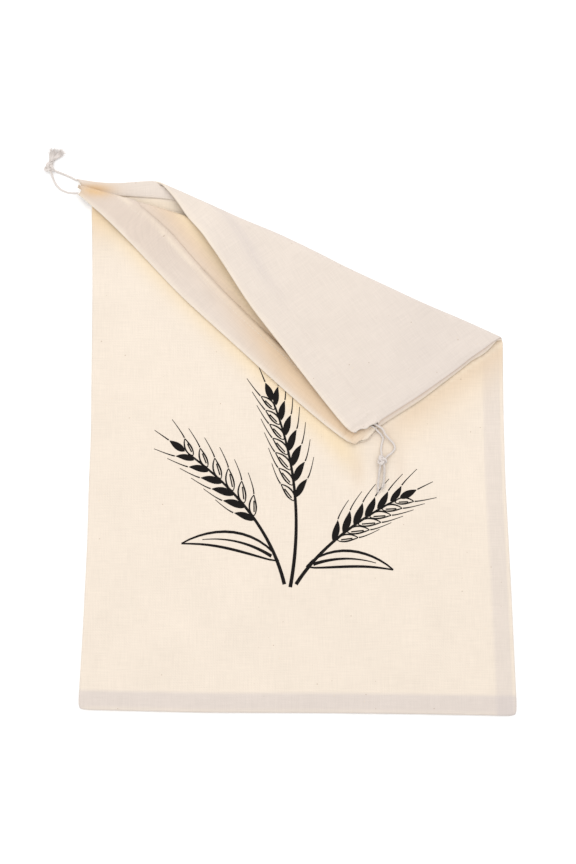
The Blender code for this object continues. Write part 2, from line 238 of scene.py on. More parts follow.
RIGHT_TAILS = (
    {"points": ((57.2, 169.4, 5.2), (56.4, 163.6, 3.95), (55.8, 157.2, 3.9), (55.6, 154.8, 3.9)),
     "loose": 1.25, "slack": 1.5, "fray": 5.5, "spread": 0.11, "fibres": 20, "seed": 9},
    {"points": ((59.9, 169.2, 5.2), (60.1, 164.6, 3.95), (59.6, 159.0, 3.9), (59.3, 156.6, 3.9)),
     "loose": 1.25, "slack": 1.5, "fray": 5.0, "spread": 0.11, "fibres": 20, "seed": 10},
)
DRAWCORDS = (
    ("left", LEFT_ROUTE, LEFT_KNOT, LEFT_TAILS, ("left_strand_back", "left_strand_front")),
    ("right", RIGHT_ROUTE, RIGHT_KNOT, RIGHT_TAILS, ("right_strand_short", "right_strand_long")),
)

# Painted light and shade of the cloth. Angles past which a panel counts as turned over, in radians
BACK_TURNED = 0.8
FRONT_TURNED = 1.6
# Oval patches where shade and light are painted: centre and radii
FRONT_LEFT = ((-142.0, 346.0), (16.0, 20.0))
FRONT_POCKET = ((-138.0, 361.5), (13.0, 3.8))
BACK_POCKET = ((-142.0, 364.0), (13.0, 4.0))
BACK_TOP_LEFT = ((-62.0, 352.0), (34.0, 16.0))
TROUGHS = (((41.8, 166.0), (4.5, 13.0), 1.0), ((71.0, 168.0), (4.5, 14.0), 0.8))
# The back's mouth edge as it lies on the turned front
LYING_MOUTH = (
    (-96.2, 367.6), (-77.0, 343.0), (-52.5, 311.0), (-30.0, 278.0), (0.5, 234.0), (38.0, 192.6),
)
# How far each painted shade and painted glow reaches from its edge
MOUTH_REACH = 10.0
SIDE_REACH = 20.0
NEAR_SIDE_REACH = 13.0
SHADE_REACH = 15.0
CLOSE_REACH = 4.5
# Strength of each painted shade and painted glow by its place; a negative one takes painted shade away
PAINTED_WARM_SHADE_AMOUNTS = {
    "mouth": 0.2, "side": 0.75, "left": 0.6, "trough": 0.28, "seam": 0.8,
    "flap": 0.42, "flap_right": -0.32, "shade": 1.15, "low_end": 0.3, "hem_line": -0.2,
    "front_pocket": 2.04, "back_pocket": 2.0,
}
PAINTED_GREY_SHADE_AMOUNTS = {
    "bottom": 1.5, "side": 1.8, "left": 0.5, "trough": 0.4, "inside": 0.3, "edge": 0.5,
    "flap": 1.6, "flap_right": -0.35, "flap_hem": 0.3,
    "back": 0.95, "back_right": 0.35, "back_top": -0.2, "back_hem": 0.55, "back_bend": 0.7,
}
PAINTED_GLOW_AMOUNTS = {"side": 0.5, "left": 0.3, "inside": 0.3}

# Colours, linear
CLOTH_COLOUR = (0.722, 0.633, 0.538)
# Tints of painted light: a dull shade, a yellow glow through the cloth and a tan shade deep in folds
PAINTED_GREY_SHADE_TINT = (0.81, 0.82, 0.90)
PAINTED_GLOW_TINT = (1.03, 0.965, 0.80)
PAINTED_WARM_SHADE_TINT = (0.86, 0.68, 0.47)
CORD_COLOUR = (0.66, 0.605, 0.57)
THREAD_COLOUR = (0.68, 0.61, 0.53)
DARK_FLECK = (0.33, 0.22, 0.13)
PALE_FLECK = (0.72, 0.58, 0.42)
INK_COLOUR = (0.004, 0.0035, 0.0035)
WORN_INK = (0.019, 0.016, 0.015)

# Surface detail: threads and flecks per metre, relief in metres
WEAVE = {"Threads": 950.0, "Unevenness": 1.2}
DARK_FLECKS = {"Density": 0.09, "Scale": 300.0}
PALE_FLECKS = {"Density": 0.12, "Scale": 240.0}
WEAVE_DEPTH = 0.00007
FIBRE_DEPTH = 0.00012

# Camera and light
CAMERA_TILT = math.radians(4.0)
CAMERA_DISTANCE = 1.1
CAMERA_AIM = (-6.52, 193.36, 0.0)
LENS = 65.95
SKY = 0.78
# Lamps: name, place and size in metres, power in watts
LAMPS = (
    ("key", (0.35, 0.75, 1.4), 1.9, 16.5),
    ("fill", (-1.1, -0.35, 1.3), 2.0, 9.5),
)


# Small helpers

def in_frame(points):
    """Points of the drawing, in millimetres, as points of the frame, in metres."""
    points = np.asarray(points, float)
    return (points - (0.0, ORIGIN_Y, 0.0)) * MM


def ease(value):
    """0 below 0, 1 above 1 and a soft step between them."""
    value = np.clip(value, 0.0, 1.0)
    return value * value * (3.0 - 2.0 * value)


def bell(distance, reach):
    """1 where the distance is 0, falling off smoothly to both sides."""
    return np.exp(-((distance / reach) ** 2))


def beside(distance, reach):
    """1 up to an edge, falling off smoothly beyond it."""
    return bell(np.maximum(distance, 0.0), reach)


def fading(distance, reach):
    """1 up to an edge, falling off steeply beyond it."""
    return np.exp(-np.maximum(distance, 0.0) / reach)


def patch(x, y, centre, radii):
    """1 in the middle of an oval patch, falling off smoothly round it."""
    return np.exp(-(((x - centre[0]) / radii[0]) ** 2) - ((y - centre[1]) / radii[1]) ** 2)


def unit_rows(ways):
    """The same directions with a length of 1."""
    return ways / np.linalg.norm(ways, axis=1)[:, None]


def lookup(rows, at, blur=9.0):
    """A value read from rows of (place, value), with its corners rounded off."""
    places = [row[0] for row in rows]
    values = [row[1] for row in rows]
    spread = [np.interp(at + shift * blur, places, values) for shift in (-1.0, -0.5, 0.0, 0.5, 1.0)]
    return sum(spread) / len(spread)


def deselect():
    bpy.ops.object.select_all(action="DESELECT")


def select_only(pieces):
    deselect()
    for piece in pieces:
        piece.select_set(True)
    bpy.context.view_layer.objects.active = pieces[0]


def align_faces():
    """Make all faces of the active piece look out of the same side."""
    bpy.ops.object.mode_set(mode="EDIT")
    bpy.ops.mesh.select_all(action="SELECT")
    bpy.ops.mesh.normals_make_consistent(inside=False)
    bpy.ops.object.mode_set(mode="OBJECT")


def get_points(mesh):
    points = np.empty(len(mesh.vertices) * 3)
    mesh.vertices.foreach_get("co", points)
    return points.reshape(-1, 3)


def set_points(mesh, points):
    mesh.vertices.foreach_set("co", np.asarray(points, np.float32).ravel())
    mesh.update()


def get_attribute(mesh, name):
    values = np.empty(len(mesh.vertices), np.float32)
    mesh.attributes[name].data.foreach_get("value", values)
    return values


def add_attribute(mesh, name, values):
    kind = "FLOAT" if np.ndim(values) == 1 else "FLOAT_VECTOR"
    layer = mesh.attributes.new(name, kind, "POINT")
    layer.data.foreach_set("value" if kind == "FLOAT" else "vector", np.asarray(values, np.float32).ravel())


# Folding the flat bag

class Fold:
    """Turns a flat panel over along a nearly straight line, with a round bend."""

    def __init__(self, sizes, mouth, mouth_left, corner, bow):
        self.right = np.array(sizes["right"])
        self.left = np.array(sizes["left"])
        self.sizes = sizes
        self.mouth = mouth
        self.mouth_left = mouth_left
        self.mouth_bow = bow
        way = self.left - self.right
        self.length = np.linalg.norm(way)
        self.along = way / self.length
        self.across = np.array((-self.along[1], self.along[0]))
        if self.across[1] < 0:
            self.across = -self.across
        self.shift = np.array(corner) - self.turn(np.array([FLAT_CORNER]))[0][0]

    def turn(self, flat):
        """Plan points, heights above the flat panel, angles turned, and distances past the bend."""
        offset = flat - self.right
        share = np.clip(offset @ self.along / self.length, 0.0, PAST_FOLD_END)
        past = offset @ self.across
        radius = lookup(self.sizes["radii"], share, FOLD_BLUR)
        half_height = lookup(self.sizes["half_heights"], share, FOLD_BLUR)
        arc = lookup(self.sizes["takes_up"], share, FOLD_BLUR)
        bow = lookup(self.sizes["bows"], share, FOLD_BLUR)
        angle = np.clip((past + arc) / arc, 0.0, math.pi)
        beyond = np.maximum(past - (math.pi - 1.0) * arc, 0.0)
        level = np.where(angle > 0, -arc + (radius + bow) * np.sin(angle) - beyond, past)
        from_bend = np.maximum(beyond, -past - arc)
        warp = self.sizes["warp"] * bell(share - WARP_CENTRE, WARP_WIDTH)
        level = level + warp * beside(from_bend, WARP_REACH)
        plan = flat + self.across * (level - past)[:, None]
        return plan, half_height * (1.0 - np.cos(angle)), angle, beyond

    def cut_lines(self):
        """Lines along the steps of the bend on the flat panel: range of shares, point and direction."""
        lines = []
        rows = self.sizes["takes_up"]
        for k in range(len(rows) - 1):
            for step in range(self.sizes["cuts"] + 1):
                angle = math.pi * step / self.sizes["cuts"]
                ends = [self.right + self.along * (self.length * share) + self.across * (arc * (angle - 1.0))
                        for share, arc in rows[k:k + 2]]
                lines.append((rows[k][0], rows[k + 1][0], ends[0], (ends[1] - ends[0])))
        return lines

    def gathered(self, flat, beyond):
        """How far the drawcord pulls the folded part, and the shares from fold to mouth and left to right."""
        x, y = flat.T
        fold_y = self.right[1] + (self.right[0] - x) * -self.along[1] / self.along[0]
        depth = np.maximum(lookup(self.mouth, x) - fold_y, LEAST_DEPTH)
        share = np.clip((y - fold_y) / depth, 0.0, GATHER_LIMIT)
        side = (x - self.mouth_left) / (self.right[0] - self.mouth_left)
        free = ease(beyond / PULL_START)
        pull = self.shift * (share * np.maximum(side, 0.0) ** GATHER_POWER * free)[:, None]
        within = np.clip(side, 0.0, 1.0)
        bow = self.mouth_bow["reach"] * ease(within / self.mouth_bow["starts"])
        bow = bow * (1.0 - within ** self.mouth_bow["ends"])
        for centre, width, distance in self.mouth_bow["swells"]:
            bow = bow + distance * bell(within - centre, width)
        pull = pull + np.array(self.mouth_bow["way"]) * (bow * share * free)[:, None]
        return pull, share, side


BACK = Fold(BACK_FOLD, BACK_MOUTH, -96.0, BACK_CORNER, BACK_BOW)
FRONT = Fold(FRONT_FOLD, FRONT_MOUTH, -148.0, FRONT_CORNER, FRONT_BOW)

# Edges of the flap as they lie on the front panel: the turned front's mouth edge and the sewn side's edge
FLAP_CORNER = (36.0, 186.0)
MOUTH_LINE = ((-145.0, 362.0), FLAP_CORNER)
SIDE_LINE = (FLAP_CORNER, (142.4, 259.0))

# Creases: layer, start and end in plan, half width and depth, where a negative depth is a ridge
CREASES = (
    ("front", (-141, 224), (10, 228), 2.6, 0.22),
    ("front", (12, 4), (10, 96), 2.4, 0.16),
    ("front", (41, 180), (43, 152), 5.0, 0.9),
    ("front", (59, 197), (58, 150), 8.0, 0.3),
    ("front", (72, 190), (76, 156), 6.0, 0.9),
    ("front", (20, 176), (26, 150), 7.0, -0.5),
    ("front", (128, 246), (137, 214), 4.0, 0.4),
    ("back_flap", (-62, 346), (-25, 292), 2.0, 0.5),
    ("back_flap", (-25, 292), (3, 259), 2.0, 0.45),
    ("back_flap", (3, 259), (52, 206), 1.6, 0.3),
    ("back_flap", (103, 270), (120, 246), 2.2, 0.4),
    ("back_flap", (90, 250), (40, 262), 9.0, -0.4),
    ("back_flap", (-40, 322), (30, 262), 12.0, -0.6),
    ("front_flap", (-106, 342), (-52, 296), 1.6, 0.35),
    ("front_flap", (-52, 296), (20, 226), 1.6, 0.3),
    ("front_flap", (-78, 292), (-58, 312), 2.0, 0.3),
    ("front_flap", (-118, 322), (-96, 346), 2.6, -0.35),
)


def beyond_line(plan, line):
    """Signed distance of plan points from a line, positive on its lower side."""
    start = np.array(line[0], float)
    way = np.array(line[1], float) - start
    way /= np.linalg.norm(way)
    offset = plan - start
    return offset[:, 0] * way[1] - offset[:, 1] * way[0]


def covered(plan):
    """1 under the flap and 0 on the open part of the front."""
    inside = np.maximum(beyond_line(plan, MOUTH_LINE), beyond_line(plan, SIDE_LINE))
    return ease((4.0 - inside) / 8.0)


def creased(plan, layer):
    """Height that the listed creases of a layer add at plan points."""
    added = np.zeros(len(plan))
    for name, start, end, width, depth in CREASES:
        if name != layer:
            continue
        start = np.array(start, float)
        way = np.array(end, float) - start
        length = np.linalg.norm(way)
        offset = plan - start
        along = offset @ way / length
        aside = (offset[:, 0] * way[1] - offset[:, 1] * way[0]) / length
        fade = ease((along + 8.0) / 16.0) * ease((length - along + 8.0) / 16.0)
        wander = 0.8 * np.sin(along / 11.0) + 0.5 * np.sin(along / 4.7 + 1.0)
        added -= depth * fade * bell(aside + wander, width)
    return added


def rippled(x, y, seed):
    """Soft unevenness of cloth that lies loose, from a few crossed waves."""
    turn = np.random.default_rng(seed)
    total = np.zeros(len(x))
    for wave in range(9):
        length = 22.0 + 9.0 * wave
        angle = turn.uniform(0.0, math.pi)
        phase = turn.uniform(0.0, 2 * math.pi)
        bend = 0.35 * np.sin((x * math.sin(angle) - y * math.cos(angle)) / (length * 0.6) + phase * 2)
        total += np.sin((x * math.cos(angle) + y * math.sin(angle)) * 2 * math.pi / length + phase + bend)
    return total / 3.0


def side_of(y, right):
    return lookup(RIGHT_SIDE if right else LEFT_SIDE, y)


def hem_height(x, front):
    """Height of the hem. The back's hem leans over beside the left cord, so less of it shows there."""
    if front:
        return np.full(len(x), FRONT_HEM_HEIGHT)
    return lookup(BACK_HEM_HEIGHT, x, 5.0)


def in_hem(flat, front):
    x, y = flat.T
    mouth = lookup(FRONT_MOUTH if front else BACK_MOUTH, x)
    return y - mouth + hem_height(x, front)


def seam_bands(x, y):
    """1 where the seam allowance lies inside the bag, along the right side and along the bottom."""
    from_right = side_of(y, True) - x
    from_bottom = y - lookup(BOTTOM, x)
    right = ease((from_right - SEAM_EDGE + 0.8) / 1.6) * ease((SEAM_ALLOWANCE + SEAM_EDGE - from_right) / 1.6)
    bottom = ease((from_bottom - 0.4) / 1.6) * ease((BOTTOM_ALLOWANCE - from_bottom) / 1.6)
    return right, bottom


def hem_depth(x, share, front):
    """How far inside the panel's outer face the hem's turned-in layer has its own outer face."""
    end = bell(side_of(np.full(len(x), 370.0), True) - x, 15.0) + bell(x + HALF_WIDTH, 12.0)
    puff = 0.25 + (0.5 if front else 0.9) * end
    arch = np.maximum(np.sin(math.pi * np.clip(share + 0.08, 0.0, 1.0)), 0.0)
    return 2 * CLOTH + 0.1 + puff * arch ** 0.7


def side_swell(share, from_side):
    """How far the flap's sewn side swells outward between the fold and the mouth."""
    return lookup(SIDE_SWELL, share, SIDE_SWELL_BLUR) * fading(from_side, SIDE_SWELL_REACH)


def crumple(sizes, to_mouth, from_end, amount):
    """How far the edge of a hem end stands outward in plan."""
    ripple = sizes["ripple"] * np.sin(to_mouth * sizes["waves"] + sizes["phase"])
    swell = sizes["swell"] * bell(to_mouth - sizes["at"], sizes["width"])
    return ripple * fading(from_end, CRUMPLE_REACH) * amount + swell * fading(from_end, sizes["reach"])


def gathers(sizes, from_end, share, wave):
    """Height of the fine gathers beside a hem end."""
    amount = bell(from_end, sizes["reach"]) * ease((share - GATHER_START) / GATHER_SLOPE)
    return amount * (sizes["height"] + sizes["wave"] * np.sin(wave))


def back_surface(flat):
    """Folded place of points of the back panel's outer face."""
    plan, height, angle, beyond = BACK.turn(flat)
    pull, share, side = BACK.gathered(flat, beyond)
    turned = angle >= math.pi
    side = np.clip(side, 0.0, 1.0)
    body = np.minimum(share / SAG_END, 1.0)
    sag = BACK_SAG * np.sin(math.pi * body) * (1.0 - bell(beyond, SAG_START))
    lift = BACK_MOUTH_LIFT * np.sin(math.pi * side) * ease(share)
    plan = plan + pull * turned[:, None]
    x, y = flat.T
    loose = ease(beyond / LOOSE_START)
    relief = creased(plan, "back_flap") * ease(beyond / CREASE_START)
    relief += 0.3 * rippled(x, y, 5) * loose
    right = seam_bands(x, y)[0]
    stitched = -0.35 * bell(in_hem(flat, False), 1.1)
    z = height + np.where(turned, lift - sag + relief + (0.4 * right + stitched) * loose, 0.0)
    from_end = side_of(y, True) - x
    outward = crumple(BACK_CRUMPLE, lookup(BACK_MOUTH, x) - y, from_end, ease((share - 0.8) / 0.1))
    outward += side_swell(share, from_end)
    plan = plan + SEAM_OUTWARD * (outward * turned)[:, None]
    z += gathers(BACK_GATHER, from_end, share, from_end * 0.95 + 0.7 * np.sin(y * 0.45)) * turned
    return np.column_stack((plan, z))


def front_surface(flat):
    """Folded place of points of the front panel's outer face."""
    plan, height, angle, beyond = FRONT.turn(flat)
    x, y = flat.T
    left, low = HEM_LIFT_CORNER
    near_hem = ease((y - low) / HEM_LIFT_SLOPE) * ease((left - x) / HEM_LIFT_SLOPE)
    base = POCKET + FRONT_HEM_LIFT * near_hem
    pull, share, side = FRONT.gathered(flat, beyond)
    free = ease((share - FREE_START) / (1.0 - FREE_START)) * ease((side - 0.5) / 0.5)
    turned = angle >= math.pi
    moved = pull + np.array(FRONT_LIP) * free[:, None]
    from_end = side_of(y, True) - x
    # The turned front stands out past the turned back along their seam
    lip = SEAM_LIP + WIDER_LIP * ease((share - 0.3) / 0.35)
    lip = lip * fading(from_end, LIP_REACH) * ease(beyond / LOOSE_START) * (1.0 - free)
    outward = lip + side_swell(share, from_end)
    outward += crumple(FRONT_CRUMPLE, lookup(FRONT_MOUTH, x) - y, from_end, free)
    plan = plan + (moved + SEAM_OUTWARD * outward[:, None]) * turned[:, None]
    past = (flat - FRONT.right) @ FRONT.across
    drawn = LEFT_DRAW * bell(past, DRAW_WIDTH) * fading(x + 146.0, DRAW_LENGTH)
    plan = plan - np.column_stack((drawn, drawn * DRAW_DROP))
    droop = MOUTH_DROOP * ease((share - 0.6) / 0.4) * ease(side / 0.2) * ease((0.9 - side) / 0.2)
    rest = FRONT_REST + base - POCKET - droop
    from_edge = np.minimum(from_end, x - side_of(y, False))
    from_edge = np.minimum(from_edge, y - lookup(BOTTOM, x))
    loose = ease((from_edge - 1.0) / 24.0)
    lying = creased(plan, "front") + 0.22 * loose * (1.2 + rippled(x, y, 11))
    lying += 0.34 * np.maximum(*seam_bands(x, y))
    lying *= (1.0 - 0.75 * covered(plan)) * ease(-past / 30.0)
    flap = creased(plan, "front_flap") + 0.14 * rippled(x, y, 23) - 0.12 * bell(in_hem(flat, True), 1.4)
    on_flap = rest + (base + height - rest) * bell(beyond, SETTLE_LENGTH)
    on_flap += flap * ease(beyond / CREASE_START)
    z = np.where(turned, on_flap, base + height + lying)
    z += gathers(FRONT_GATHER, from_end, share, from_end * 1.1 + 1.4 + 0.05 * y) * turned
    return np.column_stack((plan, z))


def folded(flat, layer):
    """Folded place of points of the outer face. layer is 0 on the back, 1 on the front, and between them
    on the round edge that joins the two panels."""
    back = back_surface(flat)
    front = front_surface(flat)
    x, y = flat.T
    from_left = x - side_of(y, False)
    from_right = side_of(y, True) - x
    from_bottom = y - lookup(BOTTOM, x)
    weights = [fading(distance, 1.2) for distance in (from_left, from_right, from_bottom)]
    outward = np.column_stack((weights[1] - weights[0], -weights[2]))
    outward /= np.maximum(np.linalg.norm(outward, axis=1), 1e-6)[:, None]
    step = 0.5 * outward
    away = back_surface(flat + step) - back + front_surface(flat + step) - front
    away /= np.maximum(np.linalg.norm(away, axis=1), 1e-9)[:, None]
    turn = math.pi * layer
    sewn = np.clip(1.0 - weights[0] * 1.5, 0.0, 1.0)
    # Two rolled edges meet in a groove along the sewn sides
    groove = 1.0 - GROOVE * sewn * bell(layer - 0.4, 0.1)
    share = (1.0 - np.cos(turn)) / 2.0
    edge = back * (1.0 - share)[:, None] + front * share[:, None]
    return edge + away * (EDGE_RADIUS * np.sin(turn) * groove)[:, None]


def surface(flat, front, inside=0.0):
    """Points on a panel's outer face, or that far inside it, and the way out of the cloth there."""
    flat = np.asarray(flat, float)
    place = front_surface if front else back_surface
    point = place(flat)
    to_right = place(flat + (0.2, 0.0)) - point
    to_top = place(flat + (0.0, 0.2)) - point
    normal = unit_rows(np.cross(to_right, to_top))
    if not front:
        normal = -normal
    return point - normal * inside, normal


def painted_front_light(flat):
    """Painted shade and painted glow of the open front: duller on its seam allowances and troughs, shaded and
    lit yellow beside the flap.
    """
    x, y = flat.T
    right, bottom = seam_bands(x, y)
    off_mouth = beyond_line(flat, MOUTH_LINE)
    off_side = beyond_line(flat, SIDE_LINE)
    by_mouth = beside(off_mouth - 4.5, MOUTH_REACH) * ease((off_mouth + 14.0) / 8.0) * ease((52.0 - x) / 24.0)
    along_side = ease((x - 40.0) / 45.0)
    by_side = beside(off_side, SIDE_REACH) * along_side
    near_side = beside(off_side, NEAR_SIDE_REACH) * along_side
    at_left = patch(x, y, *FRONT_LEFT)
    # Less painted shade right beside the lip of the sewn side, so the cloth stays light there
    off_lip = 1.0 - 0.85 * bell(off_side - 3.0, 2.0) * ease((x - 45.0) / 15.0)
    # Soft shade in the troughs that run down from the flap's corner
    trough = sum(weight * patch(x, y, centre, radii) for centre, radii, weight in TROUGHS)
    painted_warm_shade = PAINTED_WARM_SHADE_AMOUNTS["mouth"] * by_mouth + PAINTED_WARM_SHADE_AMOUNTS["side"] * by_side * off_lip
    painted_warm_shade += PAINTED_WARM_SHADE_AMOUNTS["left"] * at_left + PAINTED_WARM_SHADE_AMOUNTS["trough"] * trough
    painted_grey_shade = right + PAINTED_GREY_SHADE_AMOUNTS["bottom"] * bottom + PAINTED_GREY_SHADE_AMOUNTS["side"] * near_side * off_lip
    painted_grey_shade += PAINTED_GREY_SHADE_AMOUNTS["left"] * at_left + PAINTED_GREY_SHADE_AMOUNTS["trough"] * trough
    return painted_warm_shade, painted_grey_shade, by_mouth + PAINTED_GLOW_AMOUNTS["side"] * by_side + PAINTED_GLOW_AMOUNTS["left"] * at_left


def painted_flap_light(flat):
    """Painted shade of the turned front, lying under the back's mouth edge, less beside its seams and hem
    line, with a painted glow beside that edge.
    """
    x, y = flat.T
    place_x, place_y = front_surface(flat)[:, :2].T
    edge_x = np.interp(-place_y, [-point[1] for point in LYING_MOUTH], [point[0] for point in LYING_MOUTH])
    from_edge = (edge_x - place_x) * 0.8
    by_seam = np.maximum(beside(side_of(y, True) - x, 6.0), bell(lookup(FRONT_MOUTH, x) - y, 1.6))
    to_right = ease((place_x + 120.0) / 70.0)
    low_end = ease((290.0 - place_y) / 40.0)
    hem_line = bell(in_hem(flat, True), 1.5)
    shade = beside(from_edge, SHADE_REACH)
    # Painted light right beside the back's mouth edge, less of it at the flap's low end
    painted_edge_light = beside(from_edge - 1.0, CLOSE_REACH) * (1.0 - 0.8 * low_end)
    painted_warm_shade = PAINTED_WARM_SHADE_AMOUNTS["flap"] + PAINTED_WARM_SHADE_AMOUNTS["flap_right"] * to_right + PAINTED_WARM_SHADE_AMOUNTS["shade"] * shade
    painted_warm_shade = painted_warm_shade * (1.0 - 0.6 * painted_edge_light) + PAINTED_WARM_SHADE_AMOUNTS["low_end"] * low_end * shade + PAINTED_WARM_SHADE_AMOUNTS["hem_line"] * hem_line
    painted_warm_shade = painted_warm_shade * (1.0 - by_seam) + PAINTED_WARM_SHADE_AMOUNTS["front_pocket"] * patch(place_x, place_y, *FRONT_POCKET)
    painted_grey_shade = (PAINTED_GREY_SHADE_AMOUNTS["flap"] + PAINTED_GREY_SHADE_AMOUNTS["flap_right"] * to_right) * (1.0 - by_seam)
    painted_grey_shade *= 1.0 - 0.85 * beside(from_edge, 9.0)
    painted_grey_shade = (painted_grey_shade + PAINTED_GREY_SHADE_AMOUNTS["flap_hem"] * bell(in_hem(flat, True), 5.0)) * (1.0 - 0.95 * hem_line)
    return painted_warm_shade, painted_grey_shade, painted_edge_light


def painted_back_light(flat, angle):
    """Painted shade of the back on its turned part, and painted shade and glow inside its left end."""
    x, y = flat.T
    hem = in_hem(flat, False)
    place_x, place_y = back_surface(flat)[:, :2].T
    at_left = ease((-60.0 - x) / 20.0)
    strip = ease(hem + 0.5) * at_left
    inner = at_left * ease((hem + 2.0) / -3.0 + 1.0)
    by_hem = PAINTED_GREY_SHADE_AMOUNTS["back_hem"] * bell(hem - 1.0, 3.2) * ease((50.0 - x) / 60.0)
    by_edge = bell(lookup(BACK_MOUTH, x) - y, 1.6)
    # Painted shade on the turned back: more at its right, along its hem and in its bend, less at its top
    # left, none at its mouth edge
    turned_painted_shade = PAINTED_GREY_SHADE_AMOUNTS["back"] + PAINTED_GREY_SHADE_AMOUNTS["back_right"] * ease((place_x - 20.0) / 80.0)
    turned_painted_shade += PAINTED_GREY_SHADE_AMOUNTS["back_top"] * patch(place_x, place_y, *BACK_TOP_LEFT)
    turned_painted_shade = (turned_painted_shade + by_hem + PAINTED_GREY_SHADE_AMOUNTS["back_bend"] * bell(angle - 1.7, 0.5)) * (1.0 - by_edge)
    turned = angle > BACK_TURNED
    # Painted tan shade in the opening at the back's left hem end, and painted glow inside that end
    painted_warm_shade = np.where(turned, 0.0, PAINTED_WARM_SHADE_AMOUNTS["back_pocket"] * patch(place_x, place_y, *BACK_POCKET))
    painted_grey_shade = np.where(turned, turned_painted_shade, PAINTED_GREY_SHADE_AMOUNTS["inside"] * np.maximum(*seam_bands(x, y)) + strip)
    return painted_warm_shade, painted_grey_shade, np.where(turned, 0.0, PAINTED_GLOW_AMOUNTS["inside"] * inner)


def painted_cloth_light(flat, layer):
    """Painted light and shade of the cloth: tan shade in folds, duller where double or turned, yellow glow
    beside the flap."""
    back_angle = BACK.turn(flat)[2]
    on_flap = FRONT.turn(flat)[2] > FRONT_TURNED
    painted_light = zip(painted_front_light(flat), painted_flap_light(flat), painted_back_light(flat, back_angle))
    painted_light = [np.where(layer > 0.5, np.where(on_flap, flap, front), back) for front, flap, back in painted_light]
    painted_warm_shade, painted_grey_shade, painted_glow = painted_light
    # Painted shade on the rolled edges, and painted tan shade in the groove of the sewn seam
    painted_grey_shade = painted_grey_shade + PAINTED_GREY_SHADE_AMOUNTS["edge"] * np.sin(math.pi * np.clip(layer, 0.0, 1.0))
    seam_line = bell(layer - 0.38, 0.12) * ease((flat[:, 0] - 100.0) / 10.0) * (back_angle > BACK_TURNED)
    painted_warm_shade = painted_warm_shade + PAINTED_WARM_SHADE_AMOUNTS["seam"] * seam_line
    return np.clip(painted_warm_shade, 0.0, 2.0), np.clip(painted_grey_shade, 0.0, 2.0), np.clip(painted_glow, 0.0, 1.0)


# Cloth mesh

def panel_rows(x, front):
    """Rows of a flat panel at places x: height, how far the hem has turned in there from 0 to 1, and how far
    along the turned-in layer the row lies."""
    low = lookup(BOTTOM, x) + EDGE_RADIUS
    high = lookup(BACK_MOUTH, x)
    hem = hem_height(x, front)
    hem_line = HEM_OPENING + np.array(HEM_LINE_ROWS)
    body = np.linspace(0.0, 1.0, int((PANEL_HEIGHT - hem_line[0]) / CELL) + 1)[:-1]
    rows = [(low + share * (high - hem_line[0] - low), 0.0, 0.0) for share in body]
    rows += [(high - below, 0.0, 0.0) for below in (*hem_line, *MOUTH_ROWS)]
    rows += [(high - below, bend, 0.02 * bend) for below, bend in BENT_ROWS]
    return rows + [(high - hem * share, 1.0, share) for share in TURNED_IN_ROWS]


def spaced_columns():
    """Shares across the panel, closer along the sewn side."""
    wide = 2 * HALF_WIDTH
    end = wide - EVEN_COLUMNS_END
    body = np.linspace(0.0, end, int(end / CELL) + 1)
    return np.concatenate((body, wide - np.array(SEWN_COLUMNS))) / wide


def flat_panel(front):
    """One flat panel as a grid, cut where it bends."""
    columns = spaced_columns()
    rows = len(panel_rows(np.zeros(1), front))
    deselect()
    bpy.ops.mesh.primitive_grid_add(x_subdivisions=len(columns) - 1, y_subdivisions=rows - 1, size=2.0)
    panel = bpy.context.object
    points = get_points(panel.data)
    column = np.rint((points[:, 0] + 1.0) / 2.0 * (len(columns) - 1)).astype(int)
    row = np.rint((points[:, 1] + 1.0) / 2.0 * (rows - 1)).astype(int)
    across = columns[column]
    x = HALF_WIDTH * (2.0 * across - 1.0)
    low = lookup(BOTTOM, x) + EDGE_RADIUS
    high = lookup(BACK_MOUTH, x)
    table = panel_rows(x, front)
    pick = np.arange(len(x))
    y, bend, under = (np.array([np.broadcast_to(r[k], len(x)) for r in table])[row, pick] for k in range(3))
    above_crease = np.maximum((y - high + HEM_OPENING) / HEM_OPENING, 0.0)
    if front:
        y = y + (lookup(FRONT_MOUTH, x) - high) * above_crease
    swing = FRONT_HEM_SWING if front else BACK_HEM_SWING
    left = side_of(y, False) + EDGE_RADIUS - swing * above_crease
    right = side_of(y, True) - EDGE_RADIUS
    x = left + (right - left) * across
    for edge, way in ((left, 1.0), (right, -1.0)):
        near = np.exp(-((np.abs(x - edge) + y - low) / 2.4)) * CORNER_ROUND
        x = x + way * near
        y = y + near
    near = np.exp(-((np.abs(x - right) + np.maximum(high - y, 0.0)) / 3.6)) * MOUTH_CORNER_ROUND
    x = x - near
    y = y - near
    set_points(panel.data, np.column_stack((x, y, np.zeros(len(x)) + float(front))))
    add_attribute(panel.data, "bend", bend)
    add_attribute(panel.data, "under", under)
    bpy.ops.object.mode_set(mode="EDIT")
    bpy.ops.mesh.select_mode(type="FACE")
    bpy.ops.object.mode_set(mode="OBJECT")
    for fold in (BACK, FRONT):
        for first, last, point, way in fold.cut_lines():
            centres = np.array([polygon.center[:2] for polygon in panel.data.polygons])
            share = (centres - fold.right) @ fold.along / fold.length
            chosen = (share >= first) | (first == 0.0)
            chosen &= (share < last) | (last == 1.0)
            way = way / np.linalg.norm(way)
            chosen &= np.abs((centres - point) @ np.array((-way[1], way[0]))) < 2 * CELL
            panel.data.polygons.foreach_set("select", chosen)
            bpy.ops.object.mode_set(mode="EDIT")
            bpy.ops.mesh.bisect(plane_co=(*point, 0.0), plane_no=(-way[1], way[0], 0.0), threshold=0.25)
            bpy.ops.mesh.select_all(action="DESELECT")
            bpy.ops.object.mode_set(mode="OBJECT")
    return panel


